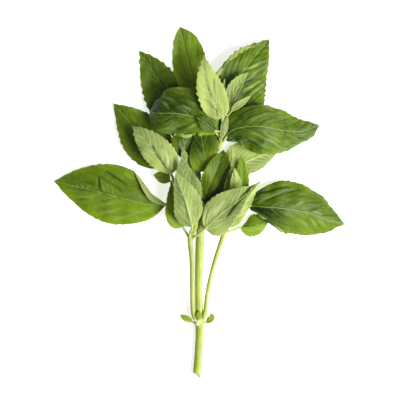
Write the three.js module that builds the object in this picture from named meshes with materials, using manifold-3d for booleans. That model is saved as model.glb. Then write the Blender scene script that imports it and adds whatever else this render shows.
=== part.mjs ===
// A bunch of basil, cut and laid on a flat surface: one stem with two side shoots, and a short shoot
// in a leaf's axil.
// Millimetres, +Z up. The surface is the plane z = 0. The stem runs along Y, with its cut end at -Y.
// Every leaf is one solid, its stalk and blade together. It ends just short of the stem that carries it.
import * as THREE from "three";
import { mergeVertices } from "three/addons/utils/BufferGeometryUtils.js";
import Module from "manifold-3d";

const wasm = await Module();
wasm.setup();
const { clamp, degToRad, lerp, smoothstep } = THREE.MathUtils;

// ---------------------------------------------------------------- driving dimensions

const BLADE_THICKNESS = 0.7;
const RIB_DEPTH = 0.5; // how far a large leaf's midrib stands out under its blade, at the base
const STALK_RADIUS = 0.85; // of a large leaf
const LARGE_HALF_WIDTH = 9; // a leaf this wide to a side has the full stalk, rib and teeth
const SMALL_STALK_SHARE = 0.55; // of the full stalk radius, on the smallest leaf
const TOOTH_DEPTH = 0.9; // from notch to tooth tip, on a large leaf
const TOOTH_PEAK = 0.62; // where in its own length a tooth stands out furthest: teeth point forward
const SMOOTH_BASE = 0.12; // share of the blade, from its base, that has no teeth
const TIP_HALF_WIDTH = 0.35;
const WIDEST = 0.4; // where along its blade a leaf is widest, if the leaf doesn't say
const TAPER = 1.65; // how strongly a blade narrows to both its ends, if the leaf doesn't say
const MID_COLUMN = 0.6; // where across a half blade its faces change direction
const FLAT_MARGIN = 0.12; // least thickness of the stalk at its sides, as a share of its radius squared

const STEM_GROOVE = 0.07; // how far a stem's four faces sink in, as a share of its radius
const CUT_SLANT = 1.1; // rise of the slanting cut at the stem's foot, per unit of width
const GAP = 0.3; // between a stalk or a shoot and the stem that carries it

const STALK_STEPS = 4;
const STEM_STEPS = 3; // rings in each stretch of a stem
const CURVE_STEPS = 16; // samples in each stretch of a curve, for its length
const SLAB_SIZE = 400; // a block wider than the bunch, for the surface that trims what touches it
const SLAB_DEPTH = 10;

// ---------------------------------------------------------------- the plant
// A stem is a line of points, each with a radius. A leaf is the line of its stalk, then that of its midrib.
// Pairs of values are for a leaf's left and right half, seen along the leaf from its base:
//   halfWidth  from the midrib to the margin, where the blade is widest
//   cup        the angle in degrees at which a half rises from the midrib
//   curl       how much more it turns by the margin
//   fold       how far its margin folds up near the base, past a crease
// foldStart is how far out of the half width that crease is at the base, foldLength the share of the blade
// that it takes to run out to the margin, and foldExtra how much wider the leaf is for its fold.
// A leaf with underside lies with its pale lower side up.

const STEMS = [
  {
    name: "main_stem",
    sides: 16,
    line: [
      [-1.5, -110.4, 2.4, 2.75],
      [-0.75, -101, 2.45, 2.75],
      [-0.3, -94, 2.55, 2.7],
      [0.15, -84, 2.8, 2.65],
      [0.1, -75, 3.2, 3],
      [0, -71, 3.5, 2.6],
      [-0.35, -49, 5, 2.5],
      [0.4, -26, 7, 2.95],
      [1.7, -7, 9, 2.55],
      [4.5, 11.5, 10.5, 2.1],
      [6.7, 27.5, 11.5, 2.2],
      [14.4, 39.7, 13, 1.9],
      [17.3, 57, 15.5, 1],
    ],
  },
  {
    name: "left_shoot_stem",
    on: "main_stem",
    sides: 10,
    line: [
      [-1.6, -76.5, 4, 1.4],
      [-3.9, -70.5, 5.5, 1.5],
      [-4.5, -57, 7.2, 1.45],
      [-4.75, -38, 9, 1.4],
      [-5.9, -23.7, 10.5, 1.6],
      [-2.8, -15.8, 13, 1.7],
      [-1, -7, 15.5, 0.9],
    ],
  },
  {
    name: "right_shoot_stem",
    on: "main_stem",
    sides: 10,
    line: [
      [1.6, -76, 4, 1.4],
      [3.9, -69.5, 5.5, 1.5],
      [5.5, -57, 7, 1.5],
      [9.2, -40.3, 8.5, 1.45],
      [16.1, -19.2, 10, 1.8],
      [19.2, -11.5, 12.5, 1],
      [21.8, -3.2, 15, 0.7],
    ],
  },
  {
    name: "axil_shoot_stem",
    on: "main_stem",
    sides: 10,
    line: [
      [2, -6, 10, 1.2],
      [-3, -1, 9, 1.1],
      [-8.3, 4.5, 9, 1.1],
      [-15.4, 12.2, 11, 1.1],
      [-17.3, 16.6, 12.5, 0.8],
    ],
  },
];

const LEAVES = [
  {
    name: "main_leaf_low_left",
    on: "main_stem",
    stalk: [[1, -7.5, 8.5], [-10, -5, 7]],
    midrib: [
      [-21, -1.3, 7], [-33.3, -1, 8.3], [-46.3, 2.2, 9.4], [-60, 5.8, 9.3], [-75, 9.5, 6.5],
      [-94.4, 14, 0.3],
    ],
    halfWidth: [20, 20.1],
    widest: [0.46, 0.46],
    taper: [2, 1.9],
    cup: [-36, -6],
    curl: [24, -6],
    fold: [0, 150],
    foldLength: 0.36,
    foldStart: 0.3,
    foldExtra: 1.2,
    teeth: 10,
  },
  {
    name: "main_leaf_low_right",
    on: "main_stem",
    stalk: [[3.2, -7, 8.5], [17, -4.5, 8]],
    midrib: [
      [31, -2.1, 9.5], [42.2, -2.8, 12.5], [55, -3.8, 12.5], [70, -6.4, 8.4], [82, -10.6, 4],
      [94.1, -14, 0.35],
    ],
    halfWidth: [18.5, 18.4],
    widest: [0.4, 0.53],
    taper: [1.5, 2.1],
    cup: [-10, -24],
    curl: [-12, -16],
    teeth: 10,
  },
  {
    name: "main_leaf_top_back",
    on: "main_stem",
    stalk: [[14, 40, 12]],
    midrib: [
      [13.5, 43.4, 9.6], [11.7, 51, 8.4], [7.6, 61.3, 8], [1, 72.2, 7.2], [-5.6, 85, 4.6],
      [-9.3, 99.7, 0.7], [-12.5, 113.5, 0.25],
    ],
    halfWidth: [11.2, 12.2],
    widest: [0.5, 0.66],
    taper: [1.3, 1.65],
    cup: [4, 4],
    teeth: 8,
  },
  {
    name: "main_leaf_upper_left",
    on: "main_stem",
    stalk: [[9, 33, 11], [-1, 42, 7]],
    midrib: [[-9.6, 51.8, 5], [-15.4, 62, 5], [-22.8, 73.4, 3], [-31.4, 87.2, 0.5], [-38.9, 98.4, 0.3]],
    halfWidth: [15, 12.2],
    widest: [0.28, 0.4],
    taper: [1.4, 1.5],
    cup: [4, 4],
    teeth: 8,
  },
  {
    name: "main_leaf_upper_front_left",
    on: "main_stem",
    stalk: [[14, 39.7, 13.5]],
    midrib: [
      [11.4, 44, 17.2], [2.5, 52, 19.2], [-7.1, 55.7, 20], [-17, 57, 20.2], [-26, 57, 17.5],
      [-30.3, 58, 12.5], [-31.5, 59, 7],
    ],
    halfWidth: [15.5, 17.4],
    widest: [0.5, 0.4],
    taper: [1.65, 1.62],
    cup: [-22, -5],
    teeth: 8,
  },
  {
    name: "main_leaf_top_front",
    on: "main_stem",
    stalk: [[16.2, 55.9, 15.4]],
    midrib: [
      [14.9, 54.3, 20], [13, 58.7, 22], [7.2, 70.4, 25], [4.2, 79.4, 27.5], [3.2, 87.7, 27],
      [3.3, 94.1, 24.5],
    ],
    halfWidth: [9.5, 9.2],
    widest: [0.27, 0.38],
    taper: [1.5, 1.65],
    cup: [-4, -12],
    teeth: 8,
    underside: true,
  },
  {
    name: "main_leaf_top_right",
    on: "main_stem",
    stalk: [[17, 55.5, 14.5]],
    midrib: [
      [17.7, 57.5, 13.8], [19, 63.4, 13], [21.8, 72.3, 12], [27.3, 82.8, 10.5], [35.5, 93.6, 8.5],
      [45.4, 105.6, 4.5],
    ],
    halfWidth: [14.5, 22],
    widest: [0.32, 0.25],
    taper: [1.35, 1.35],
    cup: [14, -10],
    teeth: 9,
  },
  {
    name: "main_leaf_upper_right",
    on: "main_stem",
    stalk: [[15, 39.3, 13]],
    midrib: [
      [16.2, 40.4, 16], [19.4, 44.8, 17.3], [24.2, 47.4, 18.8], [32.8, 48.6, 20.5], [41.7, 48.2, 20.5],
      [50.7, 46.6, 17], [64.6, 45.6, 9.5], [77.6, 50, 7.5],
    ],
    halfWidth: [14.6, 17.8],
    widest: [0.45, 0.4],
    taper: [1.6, 1.4],
    cup: [-10, -18],
    teeth: 10,
  },
  {
    name: "main_leaf_mid_left",
    on: "main_stem",
    stalk: [[5.1, 24.3, 11], [-9, 19.8, 7]],
    midrib: [
      [-21.1, 26.2, 5.5], [-28.2, 33.3, 5.5], [-35.8, 41.6, 6], [-43.5, 50.8, 5.5], [-55.6, 64.2, 3],
    ],
    halfWidth: [15.2, 15.8],
    widest: [0.34, 0.36],
    taper: [1.55, 1.65],
    cup: [-10, -6],
    teeth: 8,
  },
  {
    name: "main_leaf_mid_right",
    on: "main_stem",
    stalk: [[8.2, 25.5, 10.5], [12, 22, 7.5]],
    midrib: [[17, 20.5, 6.5], [28.5, 25.5, 7.5], [41.3, 30.9, 6.5], [50, 32, 4]],
    halfWidth: [14, 8.6],
    widest: [0.35, 0.5],
    cup: [-8, -12],
    teeth: 7,
    underside: true,
  },
  {
    name: "main_leaf_inner_left",
    on: "main_stem",
    stalk: [[5, 26.5, 12], [-2.5, 25.6, 11.2]],
    midrib: [
      [-7.8, 27.4, 10.2], [-9.1, 33.2, 10.8], [-8.8, 38.3, 11.3], [-7, 44, 11.3], [-5.2, 49.2, 10.8],
    ],
    halfWidth: [9.3, 6],
    widest: [0.58, 0.45],
    cup: [5, 5],
    teeth: 6,
  },
  {
    name: "main_leaf_inner_front",
    on: "main_stem",
    stalk: [[5, 16, 12]],
    midrib: [[6.3, 20, 15], [3.3, 31.5, 16], [1.5, 42.7, 14], [0.3, 51.5, 12.3]],
    halfWidth: [10.5, 10],
    widest: [0.25, 0.52],
    cup: [-8, 5],
    teeth: 7,
  },
  {
    name: "main_leaf_inner_small",
    on: "main_stem",
    stalk: [[3.9, 11.8, 11]],
    midrib: [[0.4, 14.2, 11.2], [-5.2, 20.6, 12.4], [-8.8, 27, 13.6], [-11, 35.6, 16]],
    halfWidth: [3.2, 5],
    widest: [0.4, 0.35],
    cup: [-5, -5],
    teeth: 5,
    underside: true,
  },
  {
    name: "left_shoot_leaf_left",
    on: "left_shoot_stem",
    stalk: [[-5.8, -23.5, 10.5]],
    midrib: [
      [-10.5, -15.4, 12], [-14.5, -6.5, 14], [-16.9, 3.7, 14.5], [-17.7, 9.5, 14.6], [-18.3, 13.6, 14.6],
    ],
    halfWidth: [7.4, 7.5],
    widest: [0.25, 0.4],
    cup: [-10, -5],
    teeth: 7,
  },
  {
    name: "left_shoot_leaf_front",
    on: "left_shoot_stem",
    stalk: [[-5.8, -23.7, 10.5], [-5.9, -19, 15]],
    midrib: [
      [-4.6, -15.2, 18.8], [-8.3, -0.3, 25], [-11.5, 8.3, 26.5], [-13.8, 14.7, 26], [-14.7, 19.8, 24.5],
    ],
    halfWidth: [9, 10],
    widest: [0.28, 0.4],
    cup: [-10, -10],
    teeth: 7,
    underside: true,
  },
  {
    name: "left_shoot_leaf_back",
    on: "left_shoot_stem",
    stalk: [[-3, -13, 14]],
    midrib: [[-4.6, -5, 18.7], [-6.5, 7, 20.8], [-9.5, 17, 21.8], [-11.5, 28.2, 20.3]],
    halfWidth: [8, 8.5],
    cup: [-10, -5],
    teeth: 7,
    underside: true,
  },
  {
    name: "left_shoot_leaf_right",
    on: "left_shoot_stem",
    stalk: [[-5.5, -23, 10.5], [-1, -20.5, 14.5]],
    midrib: [[3.9, -16.4, 18], [14, -7, 24], [21, -1.8, 26.5], [28.2, 4.5, 28], [34.6, 11.4, 27.5]],
    halfWidth: [10.5, 11.4],
    widest: [0.4, 0.2],
    taper: [1.65, 1.8],
    cup: [-5, -12],
    curl: [0, -10],
    teeth: 8,
    underside: true,
  },
  {
    name: "left_shoot_leaf_tip",
    on: "left_shoot_stem",
    stalk: [[-1, -7, 15.5]],
    midrib: [[2.4, -0.8, 16.5], [5.6, 7.6, 18], [9.8, 17.2, 19.5], [13, 25.5, 19.5], [15.4, 33.8, 17]],
    halfWidth: [7.5, 10.5],
    widest: [0.5, 0.5],
    cup: [0, 8],
    curl: [0, 40],
    teeth: 8,
  },
  {
    name: "right_shoot_leaf_low",
    on: "right_shoot_stem",
    stalk: [[15.9, -19.4, 10], [20.8, -17.8, 9.6]],
    midrib: [[26.4, -16.1, 8], [32.5, -15.7, 6.5], [38.3, -14.2, 5], [44.4, -12.7, 3.5]],
    halfWidth: [8, 6.6],
    widest: [0.6, 0.42],
    taper: [2.2, 1.5],
    cup: [-25, 5],
    teeth: 6,
  },
  {
    name: "right_shoot_leaf_front",
    on: "right_shoot_stem",
    stalk: [[15.7, -19.5, 10]],
    midrib: [[17.7, -15.5, 14], [21.8, -9, 18.2], [28.2, -0.3, 20.8], [33.3, 6.7, 21.5], [39.2, 13.9, 21]],
    halfWidth: [8, 5.8],
    widest: [0.35, 0.3],
    cup: [-5, -10],
    teeth: 7,
    underside: true,
  },
  {
    name: "right_shoot_leaf_right",
    on: "right_shoot_stem",
    stalk: [[20.8, -6, 14]],
    midrib: [[24.7, -1.5, 14.6], [27.3, 11, 16], [27.8, 22, 16.5], [26.9, 30.1, 15.5]],
    halfWidth: [6.2, 4.5],
    cup: [0, 0],
    teeth: 6,
  },
  {
    name: "right_shoot_leaf_small",
    on: "right_shoot_stem",
    stalk: [[21.8, -3.2, 15]],
    midrib: [[22.4, 1, 16.6], [23.5, 8, 18.5], [23, 15.5, 19.8], [22.3, 22.2, 19.5]],
    halfWidth: [4, 4],
    cup: [-8, -8],
    teeth: 5,
    underside: true,
  },
  {
    name: "right_shoot_leaf_back",
    on: "right_shoot_stem",
    stalk: [[20.2, -8.5, 13.3]],
    midrib: [[19.4, -3, 13.3], [20.8, 10, 13], [21.5, 24, 12.8], [20.9, 35.4, 12.5]],
    halfWidth: [6, 6],
    cup: [-5, -5],
    teeth: 7,
    underside: true,
  },
  {
    name: "axil_shoot_leaf_front",
    on: "axil_shoot_stem",
    stalk: [[-16.4, 14, 12]],
    midrib: [[-18, 18.3, 14], [-25.1, 29.1, 17.5], [-31.6, 37.7, 18.5], [-37.5, 44, 17], [-42.6, 49.1, 14]],
    halfWidth: [8.6, 11],
    widest: [0.45, 0.3],
    taper: [1.65, 1.4],
    cup: [-10, -10],
    teeth: 8,
    underside: true,
  },
  {
    name: "axil_shoot_leaf_small",
    on: "axil_shoot_stem",
    stalk: [[-15, 12, 10.8]],
    midrib: [[-18.8, 14, 9.5], [-23.9, 16.1, 8.5], [-29.3, 17.9, 6.5]],
    halfWidth: [3.4, 5],
    cup: [5, 5],
    teeth: 5,
  },
  {
    name: "tip_leaf_right",
    on: "main_stem",
    stalk: [[18, 57.4, 15.3]],
    midrib: [[19.6, 62, 17], [22.5, 70, 19], [26.5, 77, 19], [31.2, 83.2, 17.5]],
    halfWidth: [6, 3],
    cup: [10, 30],
    teeth: 5,
    underside: true,
  },
  {
    name: "tip_leaf_back",
    on: "main_stem",
    stalk: [[16.6, 57.8, 15.7]],
    midrib: [[16.2, 62, 16.5], [15.9, 68, 16.8], [15.8, 74, 17], [16.2, 79, 17]],
    halfWidth: [1.6, 1.6],
    cup: [30, 30],
    teeth: 4,
    underside: true,
  },
  {
    name: "tip_leaf_narrow",
    on: "main_stem",
    stalk: [[18.2, 56, 15.6]],
    midrib: [[20.6, 58.4, 19], [24, 61.5, 20.5], [28.5, 64.5, 21], [32.8, 68.2, 20]],
    halfWidth: [2.4, 2.2],
    cup: [20, 20],
    teeth: 4,
    underside: true,
  },
  {
    name: "tip_leaf_front",
    on: "main_stem",
    stalk: [[17.2, 55, 15.5]],
    midrib: [[17.9, 54.3, 17.8], [16.2, 50.8, 20], [15.4, 45.8, 19.8], [13.5, 39.6, 18]],
    halfWidth: [2.7, 2.3],
    widest: [0.42, 0.45],
    cup: [-10, -10],
    teeth: 4,
    underside: true,
  },
  {
    name: "tip_leaf_left",
    on: "main_stem",
    stalk: [[14.5, 42.6, 14.6], [13.2, 45.2, 17.8]],
    midrib: [[10, 46, 20.5], [6.5, 48.8, 22], [2.5, 51.8, 23], [-1.6, 54.4, 23]],
    halfWidth: [4.6, 4.6],
    cup: [8, 8],
    teeth: 4,
  },
  {
    name: "node_leaf_left",
    on: "main_stem",
    stalk: [[-1, -78.6, 2.8]],
    midrib: [[-4.6, -76.6, 3], [-6.8, -75.2, 3.6], [-9.4, -73.9, 3.9], [-12.1, -72.3, 3.4]],
    halfWidth: [1.7, 1.8],
    widest: [0.45, 0.45],
    cup: [15, 15],
    teeth: 3,
  },
  {
    name: "node_leaf_front",
    on: "main_stem",
    stalk: [[-0.6, -76, 4.5]],
    midrib: [[-0.6, -75, 7], [-0.3, -73, 7.8], [-0.2, -71.2, 8], [0, -69.3, 7.6]],
    halfWidth: [2.1, 2.1],
    widest: [0.5, 0.5],
    cup: [-15, -15],
    teeth: 3,
  },
  {
    name: "node_leaf_right",
    on: "main_stem",
    stalk: [[1.3, -76.8, 2.9]],
    midrib: [[4.5, -77, 3.6], [6.9, -75.4, 4.4], [8.3, -73.4, 4.6], [7.2, -71.2, 4.4]],
    halfWidth: [1.5, 1.3],
    widest: [0.45, 0.45],
    cup: [15, -15],
    teeth: 3,
  },
];

// ---------------------------------------------------------------- curves and closed lofts

const UP = new THREE.Vector3(0, 0, 1);
const vector = ([x, y, z]) => new THREE.Vector3(x, y, z);

/** A smooth line through points, measured along its own length. */
function measuredLine(points) {
  const curve = new THREE.CatmullRomCurve3(points.map(vector), false, "catmullrom", 0.5);
  const samples = curve.getPoints((points.length - 1) * CURVE_STEPS);
  const lengths = [0];
  for (let i = 1; i < samples.length; i++) {
    lengths.push(lengths[i - 1] + samples[i].distanceTo(samples[i - 1]));
  }
  /** The share of the curve's own parameter at a distance along the line. */
  const shareAt = (distance) => {
    let i = 1;
    while (i < samples.length - 1 && lengths[i] < distance) i++;
    const within = (distance - lengths[i - 1]) / (lengths[i] - lengths[i - 1]);
    return (i - 1 + within) / (samples.length - 1);
  };
  return {
    length: lengths.at(-1),
    lengthAtPoint: (index) => lengths[index * CURVE_STEPS],
    shareAt,
    pointAt: (distance) => curve.getPoint(shareAt(distance)),
    tangentAt: (distance) => curve.getTangent(shareAt(distance)),
  };
}

/** Directions across a line at a tangent: to its right, and up from it. */
function across(tangent, right) {
  const side = right.clone().addScaledVector(tangent, -right.dot(tangent)).normalize();
  return { side, up: new THREE.Vector3().crossVectors(side, tangent) };
}

/** A closed geometry through rings of the same even number of points, with a strip across each end.
 *  The second half of a ring runs back under the first, and is split into triangles the same way. */
function loft(rings) {
  const count = rings[0].length;
  const triangles = [];
  for (let k = 0; k < rings.length - 1; k++) {
    for (let i = 0; i < count; i++) {
      const [a, b] = [k * count + i, k * count + ((i + 1) % count)];
      const [c, d] = [b + count, a + count];
      if (i < count / 2) triangles.push(a, b, c, a, c, d);
      else triangles.push(a, b, d, b, c, d);
    }
  }
  const last = (rings.length - 1) * count;
  for (let i = 0; i < count / 2 - 1; i++) {
    const [a, b, c, d] = [i, i + 1, count - 2 - i, count - 1 - i];
    triangles.push(a, c, b, a, d, c);
    triangles.push(last + a, last + b, last + c, last + a, last + c, last + d);
  }
  return new THREE.BufferGeometry().setFromPoints(rings.flat()).setIndex(triangles);
}

// ---------------------------------------------------------------- stems

/** A stem's solid, or with extra added to its radius the room that it takes up. */
function stemGeometry({ line, sides, on }, extra = 0) {
  const path = measuredLine(line);
  const steps = (line.length - 1) * STEM_STEPS;
  const right = new THREE.Vector3().crossVectors(vector(line.at(-1)).sub(vector(line[0])), UP);
  const rings = [];
  for (let k = 0; k <= steps; k++) {
    const distance = (path.length * k) / steps;
    const place = path.shareAt(distance) * (line.length - 1);
    const from = Math.min(Math.floor(place), line.length - 2);
    const radius = lerp(line[from][3], line[from + 1][3], place - from) + extra;
    const tangent = path.tangentAt(distance);
    const { side, up } = across(tangent, right);
    const slant = k === 0 && !on ? CUT_SLANT : 0;
    const ring = [];
    for (let corner = 0; corner < sides; corner++) {
      const angle = Math.PI - ((corner + 0.5) / sides) * 2 * Math.PI;
      const reach = radius * (1 - STEM_GROOVE * Math.cos(4 * angle));
      const out = reach * Math.cos(angle);
      const point = path.pointAt(distance).addScaledVector(side, out);
      point.addScaledVector(up, reach * Math.sin(angle));
      ring.push(point.addScaledVector(tangent, -slant * out));
    }
    rings.push(ring);
  }
  return loft(rings);
}

// ---------------------------------------------------------------- leaves

/** Share of the full half width at a share of the blade's length. */
function outline(t, widest, taper) {
  const shape = (u) => (u ** widest * (1 - u) ** (1 - widest)) ** taper;
  return shape(t) / shape(widest);
}

/** How far out and up a half blade's surface is at a share of its width, and its slope there.
 *  From the midrib it starts at the slope of its cup, turns evenly by its curl, and folds up past
 *  its crease. */
function halfSection(share, width, { cup, curl, fold, crease }) {
  const flat = Math.min(share, crease);
  const middle = cup + (curl * flat) / 2;
  const end = cup + curl * flat;
  const turned = end + fold;
  const folded = share - flat;
  const slope = folded > 0 ? turned : share === crease ? (end + turned) / 2 : end;
  return {
    out: width * (flat * Math.cos(middle) + folded * Math.cos(turned)),
    up: width * (flat * Math.sin(middle) + folded * Math.sin(turned)),
    slope,
  };
}

/** The places along a leaf that get a ring: its stalk, each notch and tooth of its margin, and its tip. */
function leafStations(bladeFrom, bladeLength, teeth) {
  const stations = [];
  for (let k = 0; k < STALK_STEPS; k++) {
    stations.push({ distance: (bladeFrom * k) / STALK_STEPS, t: 0, tooth: 0 });
  }
  for (let k = 0; k < teeth; k++) {
    const notch = k / teeth;
    const peak = (k + TOOTH_PEAK) / teeth;
    stations.push({ distance: bladeFrom + bladeLength * notch, t: notch, tooth: notch > 0 ? -0.5 : 0 });
    stations.push({ distance: bladeFrom + bladeLength * peak, t: peak, tooth: 0.5 });
  }
  stations.push({ distance: bladeFrom + bladeLength, t: 1, tooth: 0 });
  return stations;
}

/** One half of a leaf at a station: its width and how it bends. */
function halfBlade(leaf, half, { t, tooth }, size, stalkRadius) {
  const { halfWidth, cup, curl = [0, 0], fold = [0, 0] } = leaf;
  const { foldStart = MID_COLUMN, foldLength = 1, foldExtra = 0 } = leaf;
  const { widest = [WIDEST, WIDEST], taper = [TAPER, TAPER] } = leaf;
  const shape = t > 0 ? outline(t, widest[half], taper[half]) : 0;
  const flatWidth = halfWidth[half] * shape;
  const creaseOut = Math.max(foldStart * flatWidth, (halfWidth[half] * t) / foldLength);
  const folds = t > 0 && fold[half] > 0 && creaseOut < flatWidth;
  const extra = folds ? foldExtra * Math.sin((Math.PI * t) / foldLength) : 0;
  const width = Math.max(lerp(stalkRadius, TIP_HALF_WIDTH, t), flatWidth + extra);
  const crease = creaseOut / width;
  const toothed = smoothstep(t, SMOOTH_BASE, 2 * SMOOTH_BASE) * tooth;
  return {
    width,
    toothOut: TOOTH_DEPTH * size * toothed,
    cup: t > 0 ? degToRad(cup[half]) : 0,
    curl: t > 0 ? degToRad(curl[half]) : 0,
    fold: folds ? degToRad(fold[half]) : 0,
    crease: folds ? crease : 1,
    midShare: folds ? crease : MID_COLUMN,
  };
}

/** A leaf's solid: a ring at each station, over its upper face from left to right, and back below. */
function leafGeometry(leaf) {
  const { stalk, midrib, halfWidth, teeth, underside } = leaf;
  const path = measuredLine([...stalk, ...midrib]);
  const bladeFrom = path.lengthAtPoint(stalk.length);
  const size = clamp(Math.max(...halfWidth) / LARGE_HALF_WIDTH, 0, 1);
  const stalkRadius = STALK_RADIUS * lerp(SMALL_STALK_SHARE, 1, size);
  const heading = vector(midrib.at(-1)).sub(vector(midrib[0]));
  const right = new THREE.Vector3().crossVectors(heading, UP);

  const rings = leafStations(bladeFrom, path.length - bladeFrom, teeth).map((station) => {
    const { distance, t } = station;
    const { side, up } = across(path.tangentAt(distance), right);
    const halves = [0, 1].map((half) => halfBlade(leaf, half, station, size, stalkRadius));
    const rib = RIB_DEPTH * size * (1 - t);
    const upperFace = [];
    const lowerFace = [];
    for (const column of [-2, -1, 0, 1, 2]) {
      const sign = Math.sign(column);
      const half = halves[column < 0 ? 0 : 1];
      const share = [0, half.midShare, 1][Math.abs(column)];
      const toothOut = share === 1 ? half.toothOut : 0;
      const { out, up: rise, slope } = halfSection(share, half.width + toothOut, half);
      const tilt = sign * slope;
      const normal = up.clone().multiplyScalar(Math.cos(tilt)).addScaledVector(side, -Math.sin(tilt));
      const point = path.pointAt(distance).addScaledVector(side, sign * out).addScaledVector(up, rise);
      const round = stalkRadius * Math.sqrt(Math.max(FLAT_MARGIN, 1 - share ** 2));
      const thin = t > 0 ? BLADE_THICKNESS / 2 : round;
      const thick = t > 0 && column === 0 ? thin + rib : thin;
      upperFace.push(point.clone().addScaledVector(normal, underside ? thick : thin));
      lowerFace.push(point.clone().addScaledVector(normal, underside ? -thin : -thick));
    }
    return [...upperFace, ...lowerFace.reverse()];
  });
  return loft(rings);
}

// ---------------------------------------------------------------- solids

function solidOf(geometry) {
  const bare = new THREE.BufferGeometry().setIndex(geometry.index);
  bare.setAttribute("position", geometry.attributes.position);
  const merged = mergeVertices(bare);
  return new wasm.Manifold(
    new wasm.Mesh({
      numProp: 3,
      vertProperties: merged.attributes.position.array,
      triVerts: new Uint32Array(merged.index.array),
    }),
  );
}

function geometryOf(solid) {
  const mesh = solid.getMesh();
  return new THREE.BufferGeometry()
    .setAttribute("position", new THREE.BufferAttribute(mesh.vertProperties, mesh.numProp))
    .setIndex(new THREE.BufferAttribute(mesh.triVerts, 1));
}

/** The part of a solid above the surface: what dips below is trimmed flat. */
function restedSolid(geometry) {
  const slab = new THREE.BoxGeometry(SLAB_SIZE, SLAB_SIZE, SLAB_DEPTH);
  return solidOf(geometry).subtract(solidOf(slab.translate(0, 0, -SLAB_DEPTH / 2)));
}

// ---------------------------------------------------------------- materials and the bunch

const leafMaterial = new THREE.MeshStandardMaterial({ color: 0x4f7a26, roughness: 0.45, metalness: 0 });
const undersideMaterial = new THREE.MeshStandardMaterial({ color: 0x9fba68, roughness: 0.6, metalness: 0 });
const stemMaterial = new THREE.MeshStandardMaterial({ color: 0xa8c256, roughness: 0.5, metalness: 0 });

const bunch = new THREE.Group();

function addPiece({ name, on }, geometry, material) {
  const carrier = STEMS.find((stem) => stem.name === on);
  const whole = restedSolid(geometry);
  const solid = carrier ? whole.subtract(solidOf(stemGeometry(carrier, GAP))) : whole;
  const mesh = new THREE.Mesh(geometryOf(solid), material.clone());
  mesh.name = name;
  bunch.add(mesh);
}

for (const stem of STEMS) addPiece(stem, stemGeometry(stem), stemMaterial);
for (const leaf of LEAVES) {
  addPiece(leaf, leafGeometry(leaf), leaf.underside ? undersideMaterial : leafMaterial);
}

export default bunch;
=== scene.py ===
"""A cut bunch of basil laid flat on a pale surface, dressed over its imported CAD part.

+Z up, in the part's frame: the surface is z = 0 and the stem's cut end is at -Y. Lengths are in metres, but
in the plant's own lists they are in millimetres, as they are in the CAD part.
Each leaf and stem repeats the points of its CAD solid, and replaces it with a finer piece of the same form.
"""

import math

import bpy
import numpy as np
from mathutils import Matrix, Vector


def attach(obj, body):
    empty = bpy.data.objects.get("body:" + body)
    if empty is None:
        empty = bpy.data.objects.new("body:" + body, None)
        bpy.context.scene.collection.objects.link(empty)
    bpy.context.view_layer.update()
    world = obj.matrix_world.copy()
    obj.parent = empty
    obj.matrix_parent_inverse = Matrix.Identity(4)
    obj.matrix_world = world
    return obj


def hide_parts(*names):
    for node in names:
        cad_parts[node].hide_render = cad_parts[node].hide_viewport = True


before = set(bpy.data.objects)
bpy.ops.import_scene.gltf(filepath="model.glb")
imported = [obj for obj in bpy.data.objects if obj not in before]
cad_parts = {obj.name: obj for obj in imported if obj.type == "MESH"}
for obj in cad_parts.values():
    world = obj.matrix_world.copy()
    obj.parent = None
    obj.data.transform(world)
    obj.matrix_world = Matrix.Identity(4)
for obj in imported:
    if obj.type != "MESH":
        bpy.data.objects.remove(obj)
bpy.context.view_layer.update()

# ---------------------------------------------------------------- driving dimensions, metres

MM_IN_METRE = 1000
FULL_TURN = 2 * math.pi
TINY = 1e-12  # keeps a division from being by nothing
SEED = 7

CELL = 0.00045  # spacing of a large blade's mesh
SMALL_CELL_SHARE = 0.6  # of that spacing, on the smallest leaf
LEAST_COLUMNS = 6
BLADE_THICKNESS = 0.00042
MARGIN_THICKNESS = 0.0002
THINNING_FROM = 0.8  # share of the half width beyond which a blade thins
TIP_HALF_WIDTH = 0.0003
TIP_POINT = 0.07  # share of a blade, at its tip, that draws in to a point
TIP_BLUNTNESS = 0.4  # power by which it draws in: below 1 is blunt
FOLD_RADIUS = 0.0009
DENT_SPREAD = 0.09  # how far along a leaf a dent of its margin spreads, as a share of its length
HEM_WIDTH = 0.003  # of a margin that is rolled over
HEM_FADE = 0.12  # share of a blade over which a hem starts, and ends

LARGE_HALF_WIDTH = 0.009  # a leaf this wide to a side has the full stalk, teeth and relief
STALK_RADIUS = 0.00085  # of a large leaf
SMALL_STALK_SHARE = 0.55  # of the full stalk radius, on the smallest leaf
RIB_END_RADIUS = 0.00012
RIB_REACH = 0.985  # share of a leaf's line at which its midrib ends
RIB_THINNING = 0.45  # share of a stalk's radius that its midrib loses near the base
RIB_THINS_BY = 0.15  # share of a blade over which it does
RIB_TAPER = 0.8  # power by which it thins further: below 1 keeps it thick until near the tip
RIB_PROUD = 0.5  # share of its radius by which an underside's midrib stands out
RIB_FLATNESS = 0.22  # share of its radius that a midrib loses on the side towards its blade
RIB_SINKING = 0.07  # share of a blade over which its midrib sinks to its own depth
STALK_FLARE = 0.45  # how much wider a stalk is where it leaves the stem
FLARE_LENGTH = 0.0016
TUBE_SIDES = 14
TUBE_STEP = 0.0006

TEETH_SHARE = 1.5  # teeth on a side here for each tooth of the CAD solid
TOOTH_DEPTH = 0.0008
TOOTH_DEPTHS = (0.1, 1.3)  # the least and most of that depth that a tooth has
TOOTH_PEAK = 0.7  # where in its own length a tooth stands out furthest: teeth point forward
TOOTH_RISE = 1.4  # power of its rising side: above 1 is hollow, and below 1 is round
TOOTH_FALL = 0.8  # and of its falling side
SMOOTH_BASE = 0.15  # share of the blade, from its base, that has no teeth
TEETH_END = 0.93  # share of the blade from which its teeth fade out

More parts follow.
